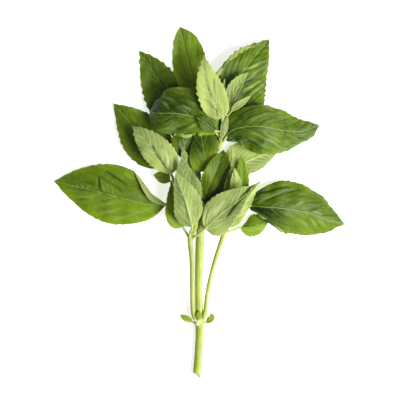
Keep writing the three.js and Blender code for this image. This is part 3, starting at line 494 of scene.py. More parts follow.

# Creases, pleats and glossy streaks of single leaves, as lines from above, in millimetres; the streaks are
# painted highlights. Each leaf's are sorted by their height, which is in millimetres too and below 0 where
# the blade sinks, and their colour: above 0 how much of the pale sheen they take, a painted highlight, and
# below 0 how much darker their tone is, painted shade along the crease.
CREASES = {
    "main_leaf_low_left": {
        (-0.6, -0.56): [[(-64.8, 17.2), (-64.4, 12), (-63.5, 8.2)]],
        (-0.4, -0.32): [[(-64.8, 17.2), (-58.4, 13.3), (-53.2, 10.1), (-48.1, 5.6)]],
        (-0.4, -0.48): [[(-60.9, 21), (-55.8, 17.8), (-50.7, 14.6), (-46.2, 10.8)]],
        (-0.3, -0.37): [[(-63.5, 7.2), (-57.1, 5), (-50, 3.1)]],
        (-0.3, -0.32): [[(-75.6, 14.6), (-71.2, 13.3), (-66.7, 11.4)]],
        (-0.2, -0.24): [[(-85.9, 10.1), (-76.3, 8.8), (-65.4, 7.6)]],
        (0.3, 0.43): [[(-79.5, 4.4), (-71.2, 4), (-66, 5.6), (-62.8, 6.6)]],
        (0.3, 0.27): [
            [(-62.2, 12), (-60.9, 6.9)], [(-59.6, 13.3), (-58.4, 6.9)], [(-57.1, 12), (-55.2, 6.3)],
            [(-75.6, 12), (-75, 9.5)], [(-78.8, 12), (-78.8, 9.5)], [(-82, 11.4), (-82, 9.5)],
            [(-72.4, 10.8), (-71.8, 8.2)],
        ],
        (0.3, 0.36): [
            [(-66.7, -0.1), (-61.6, -0.8), (-55.8, 0.5), (-52, 1.8)],
            [(-55.8, -10.4), (-47.5, -8.4), (-39.2, -5.9), (-30.2, -2.7)],
        ],
        (0.3, 0.33): [[(-65.4, -6.5), (-58.4, -5.2), (-50.7, -3.3)]],
    },
    "main_leaf_upper_front_left": {
        (0.4, 0.25): [[(-25.1, 68.4), (-18.7, 66.4), (-13.6, 62.6)]],
        (0.3, 0.32): [[(-24.4, 65.2), (-21.2, 62.6), (-19.3, 59.4)]],
        (-0.3, -0.2): [
            [(-23.2, 66.4), (-20, 63.9), (-17.4, 60)], [(-21.9, 52.4), (-14.8, 54.3), (-9.7, 53.6)],
        ],
        (-0.3, -0.27): [[(-16.1, 46.6), (-8.4, 48.5), (-2, 52.4)]],
        (0.2, 0.25): [[(-25.1, 47.2), (-18.7, 47.6), (-12.3, 49.2), (-7.2, 51.1)]],
        (0.3, 0.5): [[(-8.4, 47.2), (-4, 49.8), (-0.1, 51.7)]],
        (0.3, 0.25): [[(-15.5, 60.7), (-10.4, 61.3), (-5.9, 58.8)]],
    },
    "left_shoot_leaf_right": {
        (-0.7, -1.87): [[(35.7, 13.3), (31.9, 9.5), (27.4, 4.4), (22.9, -1.4), (17.2, -9.7)]],
        (0.2, 0.45): [
            [(2.4, -14.8), (3.1, -8.4), (5, -4)], [(4.4, -14.2), (5.6, -7.8), (8.2, -3.3)],
            [(6.3, -12.3), (8.8, -6.5), (11.4, -1.4)], [(9.5, -9.1), (12.7, -3.3), (16.5, 1.8)],
        ],
        (-0.2, -0.22): [[(3.7, -11), (4.4, -6.5), (6.3, -2.7)]],
        (-0.2, -0.39): [[(15.9, -4.6), (22.3, -0.1)]],
        (-0.3, -0.33): [[(21, 10.8), (15.9, 7.6), (14, 4.4)]],
    },
    "main_leaf_top_front": {
        (-0.6, -0.84): [[(3.7, 78.6), (5.6, 72.2), (7.6, 67.1), (10.1, 61.3), (11.4, 58.1)]],
        (-0.5, -0.84): [[(8.8, 79.9), (9.5, 72.2), (11.4, 65.2)]],
        (-0.5, -0.63): [[(2.4, 66.4), (6.9, 63.2), (9.5, 60), (11.4, 57.5)]],
        (0.5, 0.54): [[(7.6, 69), (8.8, 63.9), (11.4, 58.1)]],
        (-0.5, -0.95): [[(10.8, 60.7), (11.7, 53.6)]],
        (-0.3, -0.4): [[(3.7, 63.2), (6.3, 61.3), (8.8, 59.4)], [(12.7, 76), (13.3, 69), (14, 63.2)]],
    },
    "left_shoot_leaf_front": {
        (0.4, 0.54): [[(-10.4, 5), (-8.4, -0.1), (-6.5, -6.5), (-5.2, -12.3)]],
        (-0.4, -0.33): [[(-11, 8.2), (-9.7, 2.4), (-8.4, -4), (-7.2, -10.4)]],
        (-0.3, -0.28): [
            [(-5.2, -0.1), (-3.3, -3.3)], [(-3.3, 1.8), (-1.4, -2)], [(-4, -5.2), (-2.7, -10.4)],
            [(-1.4, -3.3), (-1.4, -9.7)],
        ],
        (-0.3, -0.22): [[(-5.9, 3.7), (-4, -0.1)]],
    },
    "main_leaf_low_right": {
        (-0.3, -0.5): [[(33.8, 2.4), (40.2, 6.3), (48.5, 8.8), (59.4, 10.1)]],
        (0.2, 0.38): [[(37, -0.4), (41.5, 2.4), (46.6, 5), (51.7, 6.3)]],
        (-0.2, -0.2): [
            [(40.2, -0.1), (46.6, 3.7), (54.9, 6.9), (64.5, 8.2)], [(69.6, -4.6), (76, -2.7), (83.7, -1.4)],
        ],
        (0.2, 0.32): [[(51.1, -2), (57.5, 1.8), (64.5, 3.1)], [(62, -3.3), (63.2, -0.8), (65.8, 0.5)]],
        (0.2, 0.5): [[(72.2, -5.9), (78.6, -7.2)], [(71.6, -10.4), (75.4, -14.2)]],
        (-0.2, -1.5): [[(35.1, -3.6), (41.5, -4.6), (47.2, -5.9)], [(37.6, -5.2), (44, -7.8)]],
    },
    "main_leaf_upper_right": {
        (-0.2, -0.33): [[(22.9, 51.7), (28, 56.8), (34.4, 60), (40.2, 61.3)]],
        (-0.2, -0.29): [
            [(27.4, 51.1), (33.8, 55.6), (42.1, 58.1), (48.5, 57.5)],
            [(37, 49.2), (40.8, 52.4), (46.6, 54.3), (53, 54.3)],
        ],
        (0.3, 0.54): [[(33.2, 44.7), (40.2, 42.1), (46.6, 38.9), (52.4, 35.1)]],
        (0.2, 0.41): [[(31.2, 41.5), (37.6, 38.9), (44, 34.4)], [(40.2, 44.7), (47.2, 41.5), (53.6, 37.6)]],
        (-0.2, -0.25): [[(19.7, 42.1), (29.3, 40.8), (37.6, 36.4), (44, 32.5)]],
        (-0.2, -0.17): [[(54.3, 54.9), (55.6, 49.8), (54.9, 44.7), (53.6, 38.9)]],
    },
    "main_leaf_top_right": {
        (0.4, 0.81): [[(28, 72.2), (33.8, 74.8), (38.9, 78.6)]],
        (0.3, 0.63): [[(31.9, 69), (37, 72.8), (40.8, 76.7)]],
        (0.4, 0.72): [[(30.6, 78.6), (33.8, 81.8), (37.6, 85)]],
        (0.3, 0.81): [[(28, 85.6), (32.5, 86.3), (36.4, 88.2), (40.2, 91.4)]],
        (-0.4, -0.44): [[(26.8, 69), (32.5, 71.6)]],
        (-0.3, -0.39): [[(28, 76), (33.8, 79.2), (38.3, 81.8)]],
    },
    # Painted shade only: dark lines over the right half, which lies in shadow.
    "left_shoot_leaf_tip": {
        (0, -2.4): [
            [(3.1, -1.4), (8.8, 4.4), (14, 12), (17.8, 19.7), (20.4, 25.5)],
            [(4.4, -2), (10.8, 4.4), (15.9, 11.4), (19.7, 19.1)],
        ],
        (0, -2): [[(6.3, -2), (12.7, 4.4), (17.8, 10.8)]],
    },
    "axil_shoot_leaf_front": {
        (-0.3, -1.7): [[(-30.2, 37), (-27, 31.2), (-23.2, 25.5), (-20, 19.7)]],
        (0.3, 0.54): [
            [(-22.5, 33.8), (-20.3, 28.7), (-20.3, 22.3)], [(-17.7, 30.6), (-17.4, 25.5), (-17.7, 19.7)],
        ],
        (-0.3, -0.5): [[(-21.2, 32.5), (-21.6, 27.4), (-20, 21)]],
        (-0.2, -0.39): [[(-23.8, 37), (-25.1, 33.8)]],
        (-0.2, -0.5): [[(-17.4, 28.7), (-18.7, 24.2), (-19, 19.7)]],
    },
    "main_leaf_inner_left": {
        (0.2, 0.32): [[(-7.2, 42.8), (-8.4, 38.3), (-9.7, 32.5)]],
    },
}

# ---------------------------------------------------------------- curves


class Line:
    """A smooth line through points, measured along its own length."""

    def __init__(self, points):
        before = 2 * points[0] - points[1]
        after = 2 * points[-1] - points[-2]
        self.points = np.vstack([before, points, after])
        stretches = len(points) - 1
        self.shares = np.linspace(0, stretches, stretches * CURVE_STEPS + 1)
        samples = self.at_share(self.shares)[0]
        steps = np.linalg.norm(np.diff(samples, axis=0), axis=1)
        self.lengths = np.concatenate([[0], np.cumsum(steps)])
        self.length = self.lengths[-1]

    def length_at_point(self, index):
        return self.lengths[index * CURVE_STEPS]

    def at_share(self, share):
        """Places and unit tangents on the uniform Catmull-Rom spline."""
        i = np.clip(np.floor(share).astype(int), 0, len(self.points) - 4)
        u = (share - i)[:, None]
        a, b, c, d = (self.points[i + k] for k in range(4))
        start, end = (c - a) / 2, (d - b) / 2
        place = (
            (2 * u**3 - 3 * u**2 + 1) * b
            + (u**3 - 2 * u**2 + u) * start
            + (3 * u**2 - 2 * u**3) * c
            + (u**3 - u**2) * end
        )
        tangent = (
            (6 * u**2 - 6 * u) * (b - c)
            + (3 * u**2 - 4 * u + 1) * start
            + (3 * u**2 - 2 * u) * end
        )
        return place, unit(tangent)

    def share_at(self, distance):
        return np.interp(distance, self.lengths, self.shares)

    def at(self, distance):
        return self.at_share(self.share_at(distance))


def unit(vectors):
    return vectors / np.linalg.norm(vectors, axis=-1, keepdims=True)


def across(tangents, right):
    """Directions across a line at its tangents: to its right, and up from it."""
    side = unit(right - tangents * (tangents @ right)[:, None])
    return side, np.cross(side, tangents)


def level_right(points):
    """A level direction, to the right of the way from the first point to the last."""
    return np.cross(points[-1] - points[0], (0, 0, 1))


def smooth(value, low, high):
    """A smooth step from 0 at low to 1 at high."""
    u = np.clip((value - low) / (high - low), 0, 1)
    return u * u * (3 - 2 * u)


def in_metres(millimetres):
    return np.array(millimetres, float) / MM_IN_METRE


# ---------------------------------------------------------------- meshes


def make_mesh(name, points, parts, attributes, materials):
    """A smooth mesh object. Each part is an array of faces, one row of vertex numbers a face, and its
    material's index. attributes holds named values by vertex."""
    corners = np.concatenate([faces.ravel() for faces, _ in parts])
    sides = np.concatenate([np.full(len(faces), faces.shape[1]) for faces, _ in parts])
    slots = np.concatenate([np.full(len(faces), slot) for faces, slot in parts])
    mesh = bpy.data.meshes.new(name)
    mesh.vertices.add(len(points))
    mesh.vertices.foreach_set("co", np.ascontiguousarray(points, np.float32).ravel())
    mesh.loops.add(len(corners))
    mesh.loops.foreach_set("vertex_index", corners.astype(np.int32))
    mesh.polygons.add(len(sides))
    starts = np.concatenate([[0], np.cumsum(sides)[:-1]])
    mesh.polygons.foreach_set("loop_start", starts.astype(np.int32))
    mesh.polygons.foreach_set("material_index", slots.astype(np.int32))
    for key, values in attributes.items():
        layer = mesh.attributes.new(key, "FLOAT", "POINT")
        layer.data.foreach_set("value", np.ascontiguousarray(values, np.float32).ravel())
    for material in materials:
        mesh.materials.append(material)
    mesh.update(calc_edges=True)
    mesh.validate()
    mesh.shade_smooth()
    piece = bpy.data.objects.new(name, mesh)
    bpy.context.scene.collection.objects.link(piece)
    return piece


def tube_faces(rings, sides):
    """Faces of a tube of rings that run the same way round, seen from its start, as a clock's hands."""
    ring, side = np.meshgrid(np.arange(rings - 1), np.arange(sides), indexing="ij")
    here = ring * sides + side
    beside = ring * sides + (side + 1) % sides
    return np.stack([here, here + sides, beside + sides, beside], -1).reshape(-1, 4)


def fan_faces(first, sides, centre, outward):
    """Triangles from a ring to a point; outward is 1 at a tube's end and -1 at its start."""
    side = np.arange(sides)
    ring = [first + side, first + (side + 1) % sides]
    return np.stack([*ring[::outward], np.full(sides, centre)], -1)


# ---------------------------------------------------------------- leaf blades


def whole_leaf(leaf):
    """A leaf with the settings that it leaves out, its lengths in metres, and its line and sizes."""
    whole = {**PLAIN_LEAF, "base_tone": leaf["tone"], **leaf}
    whole.setdefault("rib", UNDERSIDE_RIB if whole["underside"] else 1)
    for key in ("stalk", "midrib", "half_width", "fold_extra", "dent"):
        whole[key] = in_metres(whole[key])
    for key in HALVES:
        whole[key] = np.broadcast_to(whole[key], 2)
    line = Line(np.vstack([whole["stalk"], whole["midrib"]]))
    size = min(max(whole["half_width"]) / LARGE_HALF_WIDTH, 1)
    whole["line"] = line
    whole["right"] = level_right(whole["midrib"])
    whole["blade_from"] = line.length_at_point(len(whole["stalk"]))
    whole["length"] = line.length - whole["blade_from"]
    whole["size"] = size
    whole["stalk_radius"] = STALK_RADIUS * (SMALL_STALK_SHARE + (1 - SMALL_STALK_SHARE) * size)
    return whole


def outline(t, widest, taper):
    """Share of the full half width at a share of the blade's length."""
    inside = np.clip(t, 0, 1)
    shape = (inside**widest * (1 - inside) ** (1 - widest)) ** taper
    return shape / (widest**widest * (1 - widest) ** (1 - widest)) ** taper


def teeth_at(t, count, rng):
    """How far the margin stands out of its outline, in tooth depths: rising to each tooth, then falling."""
    place = t * count
    tooth = np.floor(place).astype(int)
    within = place - tooth
    rise = (within / TOOTH_PEAK) ** TOOTH_RISE - 0.5
    fall = 0.5 - (np.maximum(within - TOOTH_PEAK, 0) / (1 - TOOTH_PEAK)) ** TOOTH_FALL
    depth = rng.uniform(*TOOTH_DEPTHS, count + 1)[tooth]
    shape = np.where(within < TOOTH_PEAK, rise, fall)
    return shape * depth * smooth(t, SMOOTH_BASE, 2 * SMOOTH_BASE) * (1 - smooth(t, TEETH_END, 1))


def half_outline(leaf, half, t, rng):
    """One half's width along the blade, the share of it at which a crease lies, which is above 1 where none
    does, and how far its hem is rolled over, from 0 to 1."""
    half_width, dent, widest, taper = (leaf[key][half] for key in ("half_width", "dent", "widest", "taper"))
    shape = outline(t, widest, taper) * np.clip((1 - t) / TIP_POINT, 0, 1) ** TIP_BLUNTNESS
    least = leaf["stalk_radius"] * (1 - t) + TIP_HALF_WIDTH * t
    width = np.maximum(least, half_width * shape)
    tooth_depth = TOOTH_DEPTH * leaf["size"] * leaf["jagged"]
    width = width + tooth_depth * teeth_at(t, round(leaf["teeth"] * TEETH_SHARE), rng)
    low, high = leaf["hem_part"]
    rolled = smooth(t, low, low + HEM_FADE) * (1 - smooth(t, high - HEM_FADE, high))
    width = width + HEM_WIDTH * rolled * (leaf["hem"][half] > 0)
    width = width - dent * np.exp(-(((t - leaf["dent_at"]) / DENT_SPREAD) ** 2))
    crease_out = 2 * width
    if leaf["fold"][half]:
        t_in_fold = t / leaf["fold_length"]
        crease_out = np.maximum(leaf["fold_start"] * width, half_width * t_in_fold)
        width = width + leaf["fold_extra"] * np.sin(math.pi * np.minimum(t_in_fold, 1))
    return np.maximum(width, least)[:, None], (crease_out / width)[:, None], rolled[:, None]


def half_surface(leaf, half, t, shares, rng):
    """One half of a blade, by row along the leaf and by share of the half width: how far out and up each
    point is, and its length along the surface from the midrib, in metres and as a share of the face's."""
    width, crease, rolled = half_outline(leaf, half, t, rng)
    cup, curl, fold, hem = (math.radians(leaf[key][half]) for key in ("cup", "curl", "fold", "hem"))
    round_share = FOLD_RADIUS / width
    hem_from = 1 - HEM_WIDTH / width
    angle = cup + curl * np.minimum(shares, crease)
    angle = angle + fold * smooth(shares, crease - round_share, crease + round_share)
    angle = angle + hem * rolled * smooth(shares, hem_from, hem_from + round_share)
    step = np.diff(shares, prepend=0)[None, :]
    middle = (angle + np.roll(angle, 1, axis=1)) / 2
    middle[:, 0] = angle[:, 0]
    out = np.cumsum(width * step * np.cos(middle), axis=1)
    rise = np.cumsum(width * step * np.sin(middle), axis=1)
    wave = WAVE_HEIGHT * leaf["size"] * np.sin(FULL_TURN * (t * leaf["length"] / WAVE_LENGTH + rng.uniform()))
    rise = rise + (wave * smooth(t, *WAVE_START) * (1 - smooth(t, *WAVE_END)))[:, None] * shares**2
    return out, rise, width * shares, shares / np.minimum(crease, 1)


def vein_phase(leaf, half, along, surface_out, rng):
    """A number that is whole on each side vein. Side veins leave the midrib, lean forward and bend on."""
    lean = VEIN_LEAN * surface_out + VEIN_BEND * surface_out**2 / leaf["half_width"][half]
    origin = (along - lean) / leaf["length"]
    wander = VEIN_WANDER * np.sin((along + surface_out) / WANDER_LENGTH + rng.uniform(0, FULL_TURN))
    return leaf["pairs"] * (origin * (1 - VEIN_CROWD) + VEIN_CROWD * origin * np.abs(origin)) + wander


def relief(leaf, phase, along, surface_out, shares, rng):
    """How far the upper face bulges between its veins, which is smooth at its margin or crease and past it,
    and the painted light of each bulge.
    """
    size = leaf["size"]
    between = np.floor(phase).astype(int) % BULGE_PATTERNS
    bulge = 1 - np.abs(2 * (phase - np.floor(phase)) - 1) ** 3
    shift = rng.uniform(size=BULGE_PATTERNS)[between]
    cross = surface_out / (BLISTER_LENGTH * (SMALL_BLISTER_SHARE + (1 - SMALL_BLISTER_SHARE) * size)) + shift
    blister = 1 - np.abs(2 * (cross - np.floor(cross)) - 1) ** 2
    height = rng.uniform(*QUILT_HEIGHTS, BULGE_PATTERNS)[between]
    inner = smooth(surface_out, 0, QUILT_FADE * size)
    outer = 1 - smooth(shares, QUILT_REACH, 1)
    quilt = leaf["quilt"] * size * height * (QUILT_HEIGHT + BLISTER_HEIGHT * blister)
    raised = quilt * bulge * inner * outer
    level = 1 - smooth(shares, LEVEL_FLAP, 1) * any(leaf["fold"])
    for length in SWELL_LENGTHS:
        turn, start = rng.uniform(0, FULL_TURN, 2)
        place = along * math.cos(turn) + surface_out * math.sin(turn)
        swell = np.sin(FULL_TURN * place / length + start) * smooth(surface_out, 0, SWELL_FADE)
        raised = raised + SWELL_HEIGHT * size * leaf["swell"] * swell * level
    groove = GROOVE_DEPTH * size * np.exp(-((surface_out / GROOVE_WIDTH) ** 2))
    return raised - groove, bulge * (1 - BLISTER_LIGHT * (1 - blister)) * inner


def blade(leaf, creases, rng):
    """A blade's middle surface with its normals, a grid of rows along the leaf and columns across it, and
    what its material reads at each point."""
    cell = CELL * (SMALL_CELL_SHARE + (1 - SMALL_CELL_SHARE) * leaf["size"])
    t = np.linspace(0, 1, round(leaf["length"] / cell))
    shares = np.linspace(0, 1, max(LEAST_COLUMNS, round(max(leaf["half_width"]) / cell)))
    places, tangents = leaf["line"].at(leaf["blade_from"] + leaf["length"] * t)
    side, up = across(tangents, leaf["right"])
    face_up = -1 if leaf["underside"] and not leaf["creased"] else 1

    halves = []
    for half, sign in ((0, -1), (1, 1)):
        out, rise, surface_out, face_share = half_surface(leaf, half, t, shares, rng)
        along = np.broadcast_to((leaf["length"] * t)[:, None], surface_out.shape)
        phase = vein_phase(leaf, half, along, surface_out, rng)
        raised, bulge = relief(leaf, phase, along, surface_out, face_share, rng)
        points = places[:, None] + sign * out[..., None] * side[:, None] + rise[..., None] * up[:, None]
        base_tone, tone = leaf["base_tone"][half], leaf["tone"][half]
        halves.append(
            {
                "points": points,
                "raised": face_up * raised,
                "bulge": bulge,
                "vein": phase,
                "from_rib": sign * surface_out,
                "along": along,
                "edge": np.broadcast_to(shares, surface_out.shape),
                "edge_gap": surface_out[:, -1:] - surface_out,
                "tone": base_tone + (tone - base_tone) * smooth(along / leaf["length"], 0, BASE_TONE_REACH),
                "painted_sheen": np.zeros(surface_out.shape),
                "rib": np.full(surface_out.shape, leaf["rib"]),
            }
        )
    left, right = halves
    grid = {key: np.concatenate([left[key][:, ::-1], right[key][:, 1:]], axis=1) for key in left}
    add_creases(grid, creases)
    grid["points"] = grid["points"] + grid["raised"][..., None] * grid_normals(grid["points"])
    grid["normals"] = grid_normals(grid["points"])
    grid["vein_gap"] = vein_gap(grid)
    return grid


def add_creases(grid, creases):
    """Changes how far a blade is raised along its own creases, and paints shade and highlights along them."""
    for (height, colour), lines in creases.items():
        near = sum(crease_depth(grid["points"], in_metres(line)) for line in lines)
        grid["raised"] = grid["raised"] + in_metres(height) * near
        grid["tone"] = grid["tone"] + min(colour, 0) * near
        grid["painted_sheen"] = grid["painted_sheen"] + max(colour, 0) * near


def crease_depth(points, line):
    """How deep a crease through the places of a line is at each point, from above: 1 along most of its
    middle, and 0 at its ends and away from it."""
    runs = np.diff(line, axis=0)
    lengths = np.linalg.norm(runs, axis=1)
    gaps, ways = [], []
    for start, run, length, before in zip(line, runs, lengths, np.cumsum(lengths) - lengths):
        from_start = points[..., :2] - start
        share = np.clip(from_start @ run / length**2, 0, 1)
        gaps.append(np.linalg.norm(from_start - share[..., None] * run, axis=-1))
        ways.append((before + share * length) / np.sum(lengths))
    nearest = np.argmin(gaps, axis=0)[None]
    gap = np.take_along_axis(np.array(gaps), nearest, axis=0)[0]
    way = np.take_along_axis(np.array(ways), nearest, axis=0)[0]
    return np.sqrt(np.clip(4 * way * (1 - way), 0, 1)) * np.exp(-((gap / CREASE_WIDTH) ** 2))


def grid_normals(points):
    """Unit normals of a grid whose rows run along the leaf and whose columns run to its right."""
    normals = np.cross(np.gradient(points, axis=1), np.gradient(points, axis=0))
    length = np.linalg.norm(normals, axis=-1, keepdims=True)
    return normals / np.maximum(length, TINY)


def vein_gap(grid):
    """The distance on the surface that one step of the vein number spans."""
    rates = []
    for axis in (0, 1):
        step = np.linalg.norm(np.gradient(grid["points"], axis=axis), axis=-1)
        rates.append(np.gradient(grid["vein"], axis=axis) / np.maximum(step, TINY))
    return 1 / np.clip(np.hypot(*rates), *VEINS_IN_METRE)


def blade_mesh(grid):
    """The blade's two faces, a thickness apart, and the rim that joins them: points, and three sets of
    faces."""
    rows, columns = grid["edge"].shape
    thinner = smooth(grid["edge"], THINNING_FROM, 1)
    thickness = BLADE_THICKNESS - (BLADE_THICKNESS - MARGIN_THICKNESS) * thinner
    offset = grid["normals"] * (thickness / 2)[..., None]
    upper = (grid["points"] + offset).reshape(-1, 3)
    lower = (grid["points"] - offset).reshape(-1, 3)
    upper[:, 2] = np.maximum(upper[:, 2], MARGIN_THICKNESS)
    lower[:, 2] = np.maximum(lower[:, 2], 0)

    row, column = np.meshgrid(np.arange(rows - 1), np.arange(columns - 1), indexing="ij")
    here = (row * columns + column).ravel()
    quads = np.stack([here, here + 1, here + 1 + columns, here + columns], -1)
    count = rows * columns
    near_end = np.arange(columns)
    right_edge = np.arange(2, rows + 1) * columns - 1
    far_end = (rows - 1) * columns + np.arange(columns - 2, -1, -1)
    left_edge = np.arange(rows - 2, 0, -1) * columns
    loop = np.concatenate([near_end, right_edge, far_end, left_edge])
    after = np.roll(loop, -1)
    rim = np.stack([after, loop, loop + count, after + count], -1)
    return np.vstack([upper, lower]), quads, quads[:, ::-1] + count, rim


# ---------------------------------------------------------------- leaf stalks and midribs


def stalk_mesh(leaf):
    """The stalk as a tube that runs on as the blade's midrib, along its lower side, and thins to the tip:
    points, and two sets of faces."""
    line = leaf["line"]
    rings = round(line.length / TUBE_STEP)
    distance = np.linspace(0, line.length * RIB_REACH, rings)
    t = np.clip((distance - leaf["blade_from"]) / leaf["length"], 0, 1)
    places, tangents = line.at(distance)
    side, up = across(tangents, leaf["right"])
    thinning = (1 - t) ** RIB_TAPER * (1 - RIB_THINNING * smooth(t, 0, RIB_THINS_BY))
    radius = RIB_END_RADIUS + (leaf["stalk_radius"] - RIB_END_RADIUS) * thinning
    radius = radius * (1 + STALK_FLARE * np.exp(-distance / FLARE_LENGTH))
    proud = leaf["underside"] and leaf["rib"] >= 0
    depth = (1 - RIB_PROUD) * radius if proud else radius + GROOVE_DEPTH
    centres = places - up * (depth * smooth(t, 0, RIB_SINKING))[:, None]
    angle = np.linspace(0, FULL_TURN, TUBE_SIDES, endpoint=False)
    circle = np.cos(angle)[None, :, None] * side[:, None] + np.sin(angle)[None, :, None] * up[:, None]
    towards_blade = -np.sin(angle) if leaf["underside"] else np.sin(angle)
    flatten = 1 - RIB_FLATNESS * np.maximum(0, towards_blade)
    points = centres[:, None] + circle * radius[:, None, None] * flatten[None, :, None]
    points[..., 2] = np.maximum(points[..., 2], 0)
    count = rings * TUBE_SIDES
    ends = np.stack([points[0].mean(0), points[-1].mean(0)])
    foot = fan_faces(0, TUBE_SIDES, count, -1)
    tip = fan_faces(count - TUBE_SIDES, TUBE_SIDES, count + 1, 1)
    return np.vstack([points.reshape(-1, 3), ends]), tube_faces(rings, TUBE_SIDES), np.vstack([foot, tip])


def add_leaf(name, leaf, materials, rng, in_cad=True):
    """A leaf: its blade, and its stalk and midrib."""
    leaf = whole_leaf(leaf)
    grid = blade(leaf, CREASES.get(name, {}), rng)
    blade_points, upper, lower, rim = blade_mesh(grid)
    stalk_points, stalk, stalk_ends = stalk_mesh(leaf)
    top, bottom = (UNDER, UPPER) if leaf["underside"] else (UPPER, UNDER)
    first = len(blade_points)
    parts = [(upper, top), (lower, bottom), (rim, top), (stalk + first, STALK), (stalk_ends + first, STALK)]
    none = np.zeros(len(stalk_points))
    attributes = {key: np.concatenate([grid[key].ravel(), grid[key].ravel(), none]) for key in LEAF_VALUES}
    points = np.vstack([blade_points, stalk_points])
    piece = make_mesh(name + "_fine", points, parts, attributes, materials)
    if in_cad:
        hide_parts(name)
    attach(piece, "root")


# ---------------------------------------------------------------- stems


def add_stem(name, points, materials, rng):
    """A stem: four-sided with grooved faces, and at the bunch's foot cut at a slant."""
    centres, radii = np.split(in_metres(points), [3], axis=1)
    line = Line(centres)
    rings = round(line.length / STEM_STEP)
    distance = np.linspace(0, line.length, rings)
    places, tangents = line.at(distance)
    side, up = across(tangents, level_right(centres))
    radius = np.interp(line.share_at(distance), np.arange(len(radii)), radii[:, 0])
    angle = np.linspace(0, FULL_TURN, STEM_SIDES, endpoint=False)
    grooved = 1 - STEM_GROOVE * np.cos(4 * angle)
    ridges = sum(np.cos(count * angle + rng.uniform(0, FULL_TURN)) for count in STEM_RIDGES)
    profile = grooved * (1 + STEM_RIDGE * ridges / len(STEM_RIDGES))
    reach = radius[:, None] * profile[None, :]
    out = reach * np.cos(angle)
    skin = places[:, None] + out[..., None] * side[:, None] + (reach * np.sin(angle))[..., None] * up[:, None]
    if name == "main_stem":
        skin[0] -= CUT_SLANT * out[0][:, None] * tangents[0]
    skin[..., 2] = np.maximum(skin[..., 2], 0)

    count = rings * STEM_SIDES
    foot, foot_rings, foot_fan = cut_face(skin[0], tangents[0], count)
    tip = skin[-1].mean(0) + tangents[-1] * radius[-1] * STEM_TIP
    tip_fan = fan_faces(count - STEM_SIDES, STEM_SIDES, count + len(foot), 1)
    parts = [(tube_faces(rings, STEM_SIDES), SKIN), (foot_rings, CUT), (foot_fan, CUT), (tip_fan, SKIN)]
    rest = np.zeros(len(foot) + 1)
    attributes = {
        "around": np.concatenate([np.tile(angle, rings), rest]),
        "inner": np.concatenate([np.zeros(count), np.repeat(CUT_RINGS, STEM_SIDES), [0, 0]]),
    }
    every = np.vstack([skin.reshape(-1, 3), foot, tip])
    piece = make_mesh(name + "_fine", every, parts, attributes, materials)
    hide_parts(name)
    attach(piece, "root")


def cut_face(ring, tangent, first):
    """A stem's cut end as rings inside its outline, sunk a little inside the skin: points, and two sets of
    faces."""
    centre = ring.mean(0)
    sunk = tangent * CUT_SINK
    rings = [centre + (ring - centre) * share + sunk * (share < CUT_RINGS[0]) for share in CUT_RINGS]
    side = np.arange(STEM_SIDES)
    beside = (side + 1) % STEM_SIDES
    starts = [0] + [first + k * STEM_SIDES for k in range(len(CUT_RINGS))]
    quads = []
    for outer, inner in zip(starts, starts[1:]):
        quads.append(np.stack([outer + side, outer + beside, inner + beside, inner + side], -1))
    fan = fan_faces(starts[-1], STEM_SIDES, starts[-1] + STEM_SIDES, -1)
    return np.vstack([*rings, centre + sunk]), np.vstack(quads), fan


# ---------------------------------------------------------------- materials

UPPER, UNDER, STALK = range(3)  # a leaf's material slots
SKIN, CUT = range(2)  # a stem's
LEAF_VALUES = ("vein", "vein_gap", "from_rib", "along", "edge", "edge_gap", "bulge", "tone", "painted_sheen", "rib")


